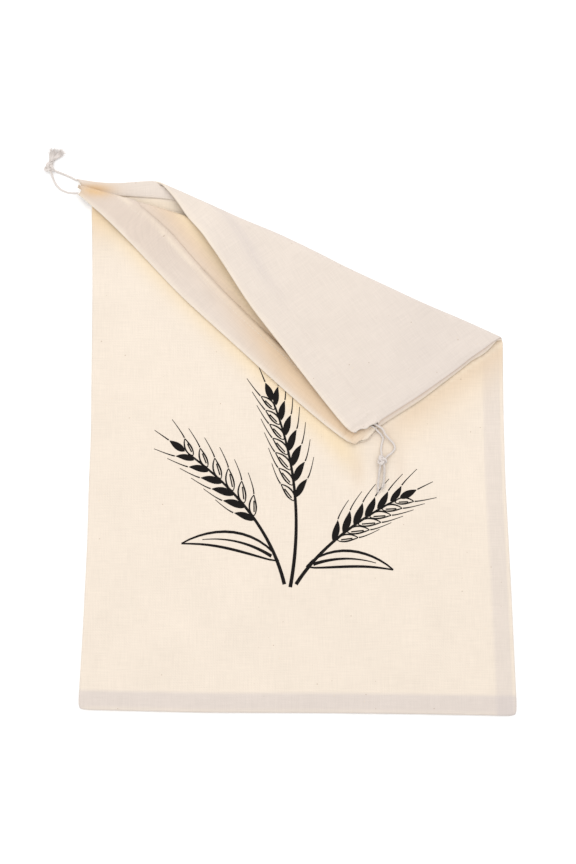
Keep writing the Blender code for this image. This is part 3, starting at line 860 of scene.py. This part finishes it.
def open_border(mesh, places):
    """Edges used by one face only whose two points are both in the places marked."""
    pairs = np.empty(len(mesh.edges) * 2, int)
    mesh.edges.foreach_get("vertices", pairs)
    pairs = pairs.reshape(-1, 2)
    loops = np.empty(len(mesh.loops), int)
    mesh.loops.foreach_get("edge_index", loops)
    uses = np.bincount(loops, minlength=len(mesh.edges))
    return (uses == 1) & places[pairs].all(axis=1)


def select_edges(mesh, chosen):
    bpy.ops.object.mode_set(mode="EDIT")
    bpy.ops.mesh.select_mode(type="EDGE")
    bpy.ops.mesh.select_all(action="DESELECT")
    bpy.ops.object.mode_set(mode="OBJECT")
    mesh.edges.foreach_set("select", chosen)
    bpy.ops.object.mode_set(mode="EDIT")


def make_cloth():
    """The bag's sheet: two panels joined round three sides, folded, and given its thickness."""
    back = flat_panel(False)
    front = flat_panel(True)
    select_only((back, front))
    bpy.ops.object.join()
    bag = bpy.context.object
    bag.name = "bag_cloth"
    mesh = bag.data
    points = get_points(mesh)
    below = points[:, 1] < lookup(BACK_MOUTH, points[:, 0]) - HEM_OPENING + 0.4
    below &= get_attribute(mesh, "bend") < 0.01
    select_edges(mesh, open_border(mesh, below))
    bpy.ops.mesh.bridge_edge_loops(number_cuts=EDGE_CUTS, interpolation="LINEAR")
    bpy.ops.mesh.select_all(action="SELECT")
    bpy.ops.mesh.quads_convert_to_tris(quad_method="BEAUTY", ngon_method="BEAUTY")
    bpy.ops.object.mode_set(mode="OBJECT")
    points = get_points(mesh)
    flat = points[:, :2]
    layer = points[:, 2]
    x, y = flat.T
    bend = get_attribute(mesh, "bend")
    under = get_attribute(mesh, "under")
    # Painted shade and painted glow, kept on the points for the cloth's material
    painted_light = painted_cloth_light(flat, layer)
    cloth_y = y + 2 * hem_height(x, False) * under
    add_attribute(mesh, "flat", np.column_stack((x * MM, cloth_y * MM, layer * EDGE_RADIUS * math.pi * MM)))
    for name, values in zip(("painted_warm_shade", "painted_grey_shade", "painted_glow"), painted_light):
        add_attribute(mesh, name, values)
    place = folded(flat, layer)
    for front in (False, True):
        own = layer == float(front)
        depth = bend[own] * hem_depth(x[own], under[own], front)
        place[own] = surface(flat[own], front, depth[:, None])[0]
    set_points(mesh, in_frame(place))
    align_faces()
    # The side that lies on the floor faces down
    if sum(p.normal.z for p in mesh.polygons if p.center.z < 0.1 * MM) > 0:
        mesh.flip_normals()
    mesh.shade_smooth()
    wall = bag.modifiers.new("cloth", "SOLIDIFY")
    wall.thickness = CLOTH * MM
    wall.offset = -1.0
    bpy.ops.object.modifier_apply(modifier="cloth")
    return bag


# Small pieces

def joined(pieces, name):
    select_only(pieces)
    bpy.ops.object.join()
    whole = bpy.context.view_layer.objects.active
    whole.name = name
    whole.data.name = name
    whole.data.shade_smooth()
    return whole


def copied(piece):
    twin = piece.copy()
    twin.data = piece.data.copy()
    bpy.context.collection.objects.link(twin)
    return twin


def make_stitches():
    """Rows of stitches that hold the hems, on the outer and the inner face of both panels."""
    deselect()
    bpy.ops.mesh.primitive_uv_sphere_add(segments=6, ring_count=5, radius=1.0)
    template = bpy.context.object
    shape = get_points(template.data) * (STITCH_LENGTH / 2, STITCH_WIDTH / 2, STITCH_WIDTH / 2)
    draw = np.random.default_rng(3)
    stitches = []
    for front in (False, True):
        steps = np.arange(-139.0, 138.5, STITCH_PITCH)
        steps = steps + draw.uniform(-0.15, 0.15, len(steps))
        mouth = lookup(FRONT_MOUTH if front else BACK_MOUTH, steps)
        row = np.column_stack((steps, mouth - hem_height(steps, front) + STITCH_INSET))
        for inside in (STITCH_SINK, 2 * CLOTH + 0.2 - STITCH_SINK):
            place, out = surface(row, front, inside)
            ahead = unit_rows(surface(row + (0.5, 0.0), front, inside)[0] - place)
            side = np.cross(out, ahead)
            for k in range(len(row)):
                turn = np.array((ahead[k], side[k], out[k]))
                stitch = copied(template)
                set_points(stitch.data, in_frame(shape @ turn + place[k]))
                stitches.append(stitch)
    bpy.data.objects.remove(template)
    return joined(stitches, "hem_stitches")


# Printed wheat

def left_of(path):
    """The direction to the left of a flat path, at each of its points."""
    ahead = unit_rows(np.gradient(path, axis=0))
    return np.column_stack((-ahead[:, 1], ahead[:, 0]))


def ribbon(path, widths, columns=1):
    """A flat strip along a path in the front panel's own flat sizes."""
    path = np.asarray(path, float)
    rows = len(path) - 1
    deselect()
    bpy.ops.mesh.primitive_grid_add(x_subdivisions=rows, y_subdivisions=columns, size=2.0)
    strip = bpy.context.object
    points = get_points(strip.data)
    along = np.rint((points[:, 0] + 1.0) / 2.0 * rows).astype(int)
    across = points[:, 1] / 2.0
    place = path[along] + left_of(path)[along] * (np.asarray(widths)[along] * across)[:, None]
    set_points(strip.data, np.column_stack((place, np.zeros(len(place)))))
    return strip


def curve_point(ends, share):
    """A point of the curve from the first to the third point, drawn toward the second."""
    share = np.asarray(share, float)[..., None]
    start, middle, end = (np.array(p, float) for p in ends)
    return start * (1 - share) ** 2 + middle * 2 * share * (1 - share) + end * share ** 2


def rotated(way, angle):
    c, s = math.cos(angle), math.sin(angle)
    return np.array((way[0] * c - way[1] * s, way[0] * s + way[1] * c))


def leaf_halves(start, end, bend, width, share):
    """Middle line and half width of a leaf shape from start to end."""
    start = np.array(start, float)
    end = np.array(end, float)
    way = end - start
    middle = (start + end) / 2 + np.array((-way[1], way[0])) * bend
    line = curve_point((start, middle, end), share)
    return line, width / 2 * np.sin(math.pi * share ** 0.8) ** 0.85


def solid_leaf(start, end, bend, width):
    share = np.linspace(0.0, 1.0, 11)
    line, half = leaf_halves(start, end, bend, width, share)
    return [ribbon(line, np.maximum(half * 2, 0.2), 4)]


def outlined_leaf(start, end, bend, width, stroke=1.15):
    share = np.linspace(0.0, 1.0, 13)
    line, half = leaf_halves(start, end, bend, width, share)
    thick = stroke * (0.55 + 0.45 * np.sin(math.pi * share))
    return [ribbon(line + left_of(line) * (half * side)[:, None], thick) for side in (1, -1)]


def wheat_ear(base, control, tip, grains, open_side):
    """One ear on its stem: rows of grains to both sides, one of them open, with a bristle from each."""
    ends = (base, control, tip)
    strips = [ribbon(curve_point(ends, np.linspace(0.0, 0.93, 40)), np.linspace(*STEM_WIDTHS, 40), 2)]
    for k in range(grains):
        share = EAR_START + (0.97 - EAR_START) * k / grains
        size = GRAIN_LENGTH * (1.0 - 0.28 * abs(k / (grains - 1) - 0.35))
        at = curve_point(ends, share)
        way = curve_point(ends, share + 0.01) - at
        way = way / np.linalg.norm(way)
        for side in (1, -1):
            lean = rotated(way, side * math.radians(34.0 - 10.0 * k / grains))
            start = at + rotated(way, side * math.pi / 2) * 1.1 + way * (1.5 if side > 0 else 4.0)
            end = start + lean * size
            draw_leaf = outlined_leaf if side == open_side else solid_leaf
            strips += draw_leaf(start, end, 0.12 * -side, size * 0.33)
            if side == open_side:
                vein = (start + lean * 2.6, (start + end) / 2, end - lean * 4.0)
                strips.append(ribbon(curve_point(vein, np.linspace(0.0, 1.0, 6)), np.full(6, 0.9)))
            bristle = rotated(way, side * math.radians(17.0))
            bend = (end + lean * 0.6, end + lean * 5.0, end + lean * 3.0 + bristle * 13.0)
            path = curve_point(bend, np.linspace(0.0, 1.0, 9))
            strips.append(ribbon(path, np.linspace(*BRISTLE_WIDTHS, 9)))
    top = curve_point(ends, 0.95)
    way = curve_point(ends, 1.0) - top
    way = way / np.linalg.norm(way)
    strips += solid_leaf(top, top + way * size, 0.0, size * 0.38)
    bristle = np.array([top + way * (size + 0.6 + k * 2.0) for k in range(7)])
    return strips + [ribbon(bristle, np.linspace(*BRISTLE_WIDTHS, 7))]


def make_print():
    """Generic wheat ears, printed in black on the front and a hair above its cloth."""
    strips = []
    for base, control, tip, grains, open_side in WHEAT_EARS:
        strips += wheat_ear(base, control, tip, grains, open_side)
    for start, end, bend, width in WHEAT_LEAVES:
        strips += outlined_leaf(start, end, bend, width, 1.9)
        line = leaf_halves(start, end, bend, width, np.linspace(0.08, 0.8, 16))[0]
        strips.append(ribbon(line, np.linspace(2.4, 0.5, 16), 2))
    for rank, strip in enumerate(strips):
        points = get_points(strip.data)
        points[:, 2] = INK_RISE + 0.004 * (rank % 5)
        set_points(strip.data, points)
    wheat = joined(strips, "printed_wheat")
    points = get_points(wheat.data)
    add_attribute(wheat.data, "flat", np.column_stack((points[:, :2] * MM, np.full(len(points), 0.004))))
    place, out = surface(points[:, :2], True)
    set_points(wheat.data, in_frame(place + out * points[:, 2:]))
    align_faces()
    for polygon in wheat.data.polygons:
        if polygon.normal.z < 0:
            polygon.flip()
    return wheat


# Drawcords

def distances_along(route):
    return np.concatenate(([0.0], np.cumsum(np.linalg.norm(np.diff(route, axis=0), axis=1))))


def smooth_route(points, spacing):
    """Points at even steps on a smooth curve through the given ones."""
    points = np.array(points, float)
    ends = np.vstack((2 * points[0] - points[1], points, 2 * points[-1] - points[-2]))
    route = []
    for k in range(1, len(ends) - 2):
        p0, p1, p2, p3 = ends[k - 1:k + 3]
        t = np.linspace(0.0, 1.0, 24, endpoint=False)[:, None]
        route.append(0.5 * (2 * p1 + (p2 - p0) * t + (2 * p0 - 5 * p1 + 4 * p2 - p3) * t ** 2
                            + (3 * p1 - p0 - 3 * p2 + p3) * t ** 3))
    route = np.vstack(route + [ends[-2:-1]])
    way = distances_along(route)
    count = max(int(round(way[-1] / spacing)), 2)
    at = np.linspace(0.0, way[-1], count + 1)
    return np.column_stack([np.interp(at, way, route[:, axis]) for axis in range(3)])


def frames_along(route):
    """Two directions square to a route at each of its points, turning as little as they can."""
    ahead = unit_rows(np.gradient(route, axis=0))
    side = np.cross(ahead[0], (0.0, 0.0, 1.0))
    if np.linalg.norm(side) < 0.1:
        side = np.cross(ahead[0], (1.0, 0.0, 0.0))
    sides = []
    for way in ahead:
        side = side - way * (side @ way)
        side = side / np.linalg.norm(side)
        sides.append(side)
    sides = np.array(sides)
    return sides, np.cross(ahead, sides)


def plied(route, twist=PLY_PITCH, start=0.0, spread=PLY_OFFSET):
    """Routes of the plies that wind round a cord's route."""
    sides, ups = frames_along(route)
    way = distances_along(route)
    plies = []
    for k in range(PLIES):
        angle = (2 * math.pi * (way / twist + k / PLIES) + start)[:, None]
        plies.append(route + spread * (sides * np.cos(angle) + ups * np.sin(angle)))
    return plies


def tubes(routes, radii, name):
    """Round strands along routes, as one mesh. radii holds one radius or a list for each route."""
    data = bpy.data.curves.new(name, "CURVE")
    data.dimensions = "3D"
    data.bevel_depth = MM
    data.bevel_resolution = 1
    data.use_fill_caps = True
    for route, radius in zip(routes, radii):
        spline = data.splines.new("POLY")
        spline.points.add(len(route) - 1)
        spline.points.foreach_set("co", np.column_stack((in_frame(route), np.ones(len(route)))).ravel())
        spline.points.foreach_set("radius", np.broadcast_to(radius, len(route)).astype(np.float32))
        spline.use_smooth = True
    strand = bpy.data.objects.new(name, data)
    bpy.context.collection.objects.link(strand)
    select_only([strand])
    bpy.ops.object.convert(target="MESH")
    strand = bpy.context.object
    strand.name = name
    strand.data.shade_smooth()
    return strand


def knot_wraps(centre, size, tilt, height):
    """The turns of an overhand knot, seen from above as three crossing lobes."""
    t = np.linspace(0.0, 2 * math.pi, 90)
    x = (np.sin(t) + 2 * np.sin(2 * t)) / 3.0 * size
    y = (np.cos(t) - 2 * np.cos(2 * t)) / 3.0 * size * 0.86
    z = -np.sin(3 * t) * height
    c, s = math.cos(tilt), math.sin(tilt)
    return np.column_stack((x * c - y * s, x * s + y * c, z)) + centre


def frayed(end, way, length, spread, count, seed):
    """Loose fibres at a cut cord's end, with their radii."""
    draw = np.random.default_rng(seed)
    end = np.array(end, float)
    way = np.array(way, float) / np.linalg.norm(way)
    across = np.array((-way[1], way[0], 0.0))
    routes = []
    radii = []
    for k in range(count):
        lean = draw.normal(0.0, spread)
        curl = draw.normal(0.0, spread * 0.8)
        reach = length * (0.45 + 0.55 * draw.random() ** 0.7)
        share = np.linspace(0.0, 1.0, 7)[:, None]
        start = end + across * draw.uniform(-0.9, 0.9) - way * draw.uniform(0.0, 1.5)
        start = start + np.array((0.0, 0.0, draw.uniform(-0.1, 0.5)))
        route = start + way * reach * share + across * (lean * share + curl * share ** 2) * reach
        route[:, 2] = np.maximum(route[:, 2] + draw.uniform(-0.25, 0.35) * share[:, 0], FIBRE_FLOOR)
        routes.append(route)
        radii.append(np.linspace(0.17, 0.04, 7))
    return routes, radii


def make_drawcord(side, route_points, knot, tails):
    """A drawcord from one hem through its knot to the other hem, and the knot with its tails."""
    route = smooth_route(route_points, 0.5)
    cord = tubes(plied(route), [PLY_RADIUS] * PLIES, side + "_drawcord")
    routes = []
    radii = []
    centre = np.array(knot["centre"], float)
    for shift in (-0.42, 0.42):
        turns = knot_wraps(centre + np.array((shift, -shift * 0.6, 0.25 * shift)), knot["size"], knot["tilt"],
                           knot["height"])
        routes += plied(turns, PLY_PITCH, shift)
        radii += [PLY_RADIUS] * PLIES
    for tail in tails:
        line = smooth_route([centre] + list(tail["points"]), 0.5)
        routes += plied(line, PLY_PITCH * tail["slack"], 0.7, PLY_OFFSET * tail["loose"])
        radii += [np.linspace(PLY_RADIUS, PLY_RADIUS * 0.8, len(line))] * PLIES
        fibres, fibre_radii = frayed(tail["points"][-1], line[-1] - line[-4], tail["fray"], tail["spread"],
                                     tail["fibres"], tail["seed"])
        routes += fibres
        radii += fibre_radii
    lump = tubes(routes, radii, side + "_knot_tied")
    return cord, lump, route


# Camera, floor and light

def make_camera():
    data = bpy.data.cameras.new("photo view")
    data.sensor_fit = "AUTO"
    data.sensor_width = 36.0
    data.lens = LENS
    camera = bpy.data.objects.new("photo view", data)
    bpy.context.collection.objects.link(camera)
    aim = Vector(in_frame([CAMERA_AIM])[0])
    camera.location = aim + Vector((0.0, -math.sin(CAMERA_TILT), math.cos(CAMERA_TILT))) * CAMERA_DISTANCE
    camera.rotation_euler = (CAMERA_TILT, 0.0, 0.0)
    bpy.context.scene.camera = camera


def make_room():
    """White floor and soft white light, a little stronger from the upper right."""
    deselect()
    bpy.ops.mesh.primitive_plane_add(size=6.0, location=(0.0, 0.0, -0.0002))
    floor = bpy.context.object
    floor.name = "floor"
    white = bpy.data.materials.new("white floor")
    white.use_nodes = True
    shader = white.node_tree.nodes["Principled BSDF"]
    shader.inputs["Base Color"].default_value = (0.97, 0.97, 0.97, 1.0)
    shader.inputs["Roughness"].default_value = 0.9
    floor.data.materials.append(white)
    world = bpy.data.worlds.new("studio")
    world.use_nodes = True
    sky = world.node_tree.nodes["Background"]
    sky.inputs["Color"].default_value = (1.0, 1.0, 1.0, 1.0)
    sky.inputs["Strength"].default_value = SKY
    bpy.context.scene.world = world
    for name, place, size, power in LAMPS:
        lamp = bpy.data.lights.new(name, "AREA")
        lamp.size = size
        lamp.energy = power
        lamp_object = bpy.data.objects.new(name, lamp)
        bpy.context.collection.objects.link(lamp_object)
        lamp_object.location = place
        lamp_object.rotation_euler = (-Vector(place)).to_track_quat("-Z", "Y").to_euler()
    bpy.context.scene.view_settings.view_transform = "Standard"


# Finishes

def node(tree, kind, place, **settings):
    made = tree.nodes.new(kind)
    made.location = place
    for name, value in settings.items():
        setattr(made, name, value)
    return made


def new_group(name, inputs, outputs):
    """An empty node group with named sockets. Each socket is (name, kind, value)."""
    group = bpy.data.node_groups.new(name, "ShaderNodeTree")
    for direction, sockets in (("INPUT", inputs), ("OUTPUT", outputs)):
        for label, kind, value in sockets:
            made = group.interface.new_socket(label, in_out=direction, socket_type="NodeSocket" + kind)
            if value is not None:
                made.default_value = value
    enter = node(group, "NodeGroupInput", (-900, 0))
    leave = node(group, "NodeGroupOutput", (900, 0))
    return group, enter, leave


def maths(tree, operation, place, first, second=None, third=None):
    made = node(tree, "ShaderNodeMath", place, operation=operation)
    for slot, value in enumerate((first, second, third)):
        if value is None:
            continue
        if isinstance(value, (int, float)):
            made.inputs[slot].default_value = value
        else:
            tree.links.new(value, made.inputs[slot])
    return made.outputs[0]


def scaled(tree, vector, size, place):
    """A vector multiplied by a fixed size in each direction."""
    made = node(tree, "ShaderNodeMapping", place, vector_type="POINT")
    made.inputs["Scale"].default_value = size
    tree.links.new(vector, made.inputs["Vector"])
    return made.outputs[0]


def noise(tree, vector, scale, detail, place, roughness=0.5):
    made = node(tree, "ShaderNodeTexNoise", place)
    made.inputs["Scale"].default_value = scale
    made.inputs["Detail"].default_value = detail
    made.inputs["Roughness"].default_value = roughness
    tree.links.new(vector, made.inputs["Vector"])
    return made.outputs["Fac"]


def weave_group():
    """Plain weave: threads of uneven thickness that cross in both directions."""
    group, enter, leave = new_group(
        "plain weave",
        [("Vector", "Vector", None), ("Threads", "Float", 1900.0), ("Unevenness", "Float", 0.5)],
        [("Height", "Float", None), ("Streaks", "Float", None)],
    )
    vector = enter.outputs["Vector"]
    split = node(group, "ShaderNodeSeparateXYZ", (-700, 0))
    group.links.new(vector, split.inputs[0])
    heights = []
    for axis, place in ((0, 250), (1, -250)):
        wave = maths(group, "MULTIPLY", (-500, place), split.outputs[axis], enter.outputs["Threads"])
        wave = maths(group, "MULTIPLY", (-330, place), wave, 2 * math.pi)
        heights.append(maths(group, "SINE", (-160, place), wave))
    crossed = maths(group, "MULTIPLY", (20, 0), heights[0], heights[1])
    threads = maths(group, "MULTIPLY_ADD", (200, 0), crossed, 0.5, 0.5)
    uneven = []
    for place, size in ((-600, (70.0, 1500.0, 250.0)), (-900, (1500.0, 70.0, 250.0))):
        stretched = scaled(group, vector, size, (-500, place))
        uneven.append(noise(group, stretched, 1.0, 2.0, (-300, place), 0.6))
    streaks = maths(group, "ADD", (0, -700), *uneven)
    streaks = maths(group, "MULTIPLY", (200, -700), streaks, 0.5)
    rough = maths(group, "MULTIPLY", (380, -500), streaks, enter.outputs["Unevenness"])
    height = maths(group, "ADD", (560, 0), threads, rough)
    group.links.new(height, leave.inputs["Height"])
    group.links.new(streaks, leave.inputs["Streaks"])
    return group


def fleck_group():
    """Sparse specks of husk left in unbleached yarn."""
    group, enter, leave = new_group(
        "husk flecks",
        [("Vector", "Vector", None), ("Density", "Float", 0.2), ("Scale", "Float", 260.0)],
        [("Mask", "Float", None)],
    )
    cells = node(group, "ShaderNodeTexVoronoi", (-500, 0), feature="F1")
    group.links.new(enter.outputs["Vector"], cells.inputs["Vector"])
    group.links.new(enter.outputs["Scale"], cells.inputs["Scale"])
    split = node(group, "ShaderNodeSeparateColor", (-300, -200))
    group.links.new(cells.outputs["Color"], split.inputs[0])
    size = maths(group, "MULTIPLY", (-100, -200), split.outputs[1], 0.13)
    spot = maths(group, "LESS_THAN", (100, 100), cells.outputs["Distance"], size)
    chosen = maths(group, "LESS_THAN", (100, -100), split.outputs[0], enter.outputs["Density"])
    mask = maths(group, "MULTIPLY", (300, 0), spot, chosen)
    group.links.new(mask, leave.inputs["Mask"])
    return group


def place_group(tree, group, place, links, values):
    made = node(tree, "ShaderNodeGroup", place)
    made.node_tree = group
    for name, source in links.items():
        tree.links.new(source, made.inputs[name])
    for name, value in values.items():
        made.inputs[name].default_value = value
    return made


def mixed(tree, place, factor, first, second, blend="MIX"):
    """A colour mix. first and second are sockets or colours."""
    made = node(tree, "ShaderNodeMix", place, data_type="RGBA", blend_type=blend)
    for slot, value in ((0, factor), (6, first), (7, second)):
        if isinstance(value, (int, float)):
            made.inputs[slot].default_value = value
        elif isinstance(value, tuple):
            made.inputs[slot].default_value = (*value, 1.0)
        else:
            tree.links.new(value, made.inputs[slot])
    return made.outputs[2]


def attribute(tree, name, place, output="Fac"):
    return node(tree, "ShaderNodeAttribute", place, attribute_name=name).outputs[output]


def shaded(tree, place, colour, light):
    """A colour made darker or lighter by one value."""
    even = node(tree, "ShaderNodeCombineColor", (place[0] - 200, place[1] - 200))
    for slot in range(3):
        tree.links.new(light, even.inputs[slot])
    return mixed(tree, place, 1.0, colour, even.outputs[0], "MULTIPLY")


def tinted(tint):
    return tuple(a * b for a, b in zip(CLOTH_COLOUR, tint))


def new_material(name, roughness, sheen):
    mat = bpy.data.materials.new(name)
    mat.use_nodes = True
    shader = mat.node_tree.nodes["Principled BSDF"]
    shader.inputs["Roughness"].default_value = roughness
    shader.inputs["Sheen Weight"].default_value = sheen
    shader.inputs["Specular IOR Level"].default_value = 0.25
    return mat, mat.node_tree, shader


def bumped(tree, shader, height, depth, place):
    bump = node(tree, "ShaderNodeBump", place)
    bump.inputs["Strength"].default_value = 1.0
    bump.inputs["Distance"].default_value = depth
    tree.links.new(height, bump.inputs["Height"])
    tree.links.new(bump.outputs[0], shader.inputs["Normal"])


def cloth_material(weave, flecks):
    mat, tree, shader = new_material("unbleached cotton linen", 0.92, 0.15)
    flat = attribute(tree, "flat", (-1500, 0), "Vector")
    painted_warm_shade = attribute(tree, "painted_warm_shade", (-1500, -300))
    painted_grey_shade = attribute(tree, "painted_grey_shade", (-1500, -500))
    painted_glow = attribute(tree, "painted_glow", (-1500, -700))
    threads = place_group(tree, weave, (-1100, 200), {"Vector": flat}, WEAVE)
    dark = place_group(tree, flecks, (-1100, -100), {"Vector": flat}, DARK_FLECKS)
    pale = place_group(tree, flecks, (-1100, -300), {"Vector": flat}, PALE_FLECKS)
    mottle = noise(tree, flat, 28.0, 3.0, (-1100, -500))
    # Painted shade and painted glow from the point attributes, mixed into the cloth's own colour
    half = maths(tree, "MULTIPLY", (-900, 400), painted_grey_shade, 0.5)
    colour = mixed(tree, (-700, 300), half, CLOTH_COLOUR, tinted(PAINTED_GREY_SHADE_TINT))
    colour = mixed(tree, (-600, 500), painted_glow, colour, tinted(PAINTED_GLOW_TINT))
    half = maths(tree, "MULTIPLY", (-900, 0), painted_warm_shade, 0.5)
    colour = mixed(tree, (-500, 300), half, colour, tinted(PAINTED_WARM_SHADE_TINT))
    streak = maths(tree, "MULTIPLY_ADD", (-700, 0), threads.outputs["Streaks"], 0.3, 0.85)
    cloudy = maths(tree, "MULTIPLY_ADD", (-700, -200), mottle, 0.1, 0.95)
    colour = shaded(tree, (-300, 300), colour, maths(tree, "MULTIPLY", (-500, 0), streak, cloudy))
    spots = maths(tree, "MULTIPLY", (-300, -200), dark.outputs["Mask"], 0.55)
    colour = mixed(tree, (-100, 300), spots, colour, DARK_FLECK)
    spots = maths(tree, "MULTIPLY", (-100, -200), pale.outputs["Mask"], 0.35)
    colour = mixed(tree, (100, 300), spots, colour, PALE_FLECK)
    tree.links.new(colour, shader.inputs["Base Color"])
    bumped(tree, shader, threads.outputs["Height"], WEAVE_DEPTH, (-100, -400))
    return mat


def ink_material(weave):
    mat, tree, shader = new_material("black print ink", 0.85, 0.0)
    shader.inputs["Specular IOR Level"].default_value = 0.06
    flat = attribute(tree, "flat", (-1200, 0), "Vector")
    threads = place_group(tree, weave, (-900, 200), {"Vector": flat}, WEAVE)
    worn = maths(tree, "MULTIPLY", (-600, 0), threads.outputs["Streaks"], 0.9)
    colour = mixed(tree, (-300, 200), worn, INK_COLOUR, WORN_INK)
    tree.links.new(colour, shader.inputs["Base Color"])
    bumped(tree, shader, threads.outputs["Height"], WEAVE_DEPTH, (-100, -400))
    return mat


def cord_material(name, colour):
    mat, tree, shader = new_material(name, 0.88, 0.2)
    here = node(tree, "ShaderNodeTexCoord", (-1200, 0)).outputs["Object"]
    strands = noise(tree, here, 2600.0, 3.0, (-900, 200), 0.7)
    clouds = noise(tree, here, 240.0, 2.0, (-900, -100))
    streak = maths(tree, "MULTIPLY_ADD", (-600, 100), strands, 0.3, 0.85)
    cloudy = maths(tree, "MULTIPLY_ADD", (-600, -100), clouds, 0.16, 0.92)
    light = maths(tree, "MULTIPLY", (-400, 100), streak, cloudy)
    tree.links.new(shaded(tree, (-50, 200), colour, light), shader.inputs["Base Color"])
    bumped(tree, shader, strands, FIBRE_DEPTH, (-100, -400))
    return mat


# Assembly

def dress(piece, finish):
    piece.data.materials.clear()
    piece.data.materials.append(finish)
    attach(piece, BODY)


def main():
    make_camera()
    make_room()
    weave = weave_group()
    flecks = fleck_group()
    cloth_finish = cloth_material(weave, flecks)
    ink_finish = ink_material(weave)
    cord_finish = cord_material("cotton cord", CORD_COLOUR)
    thread_finish = cord_material("sewing thread", THREAD_COLOUR)
    bag = make_cloth()
    stitches = make_stitches()
    wheat = make_print()
    dress(bag, cloth_finish)
    dress(stitches, thread_finish)
    dress(wheat, ink_finish)
    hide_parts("bag")
    for side, points, knot, tails, replaced in DRAWCORDS:
        cord, lump, route = make_drawcord(side, points, knot, tails)
        dress(cord, cord_finish)
        dress(lump, cord_finish)
        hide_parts(*replaced)
        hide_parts(side + "_knot")
        path = [tuple(p) for p in in_frame(smooth_route(points, 1.8))]


main()
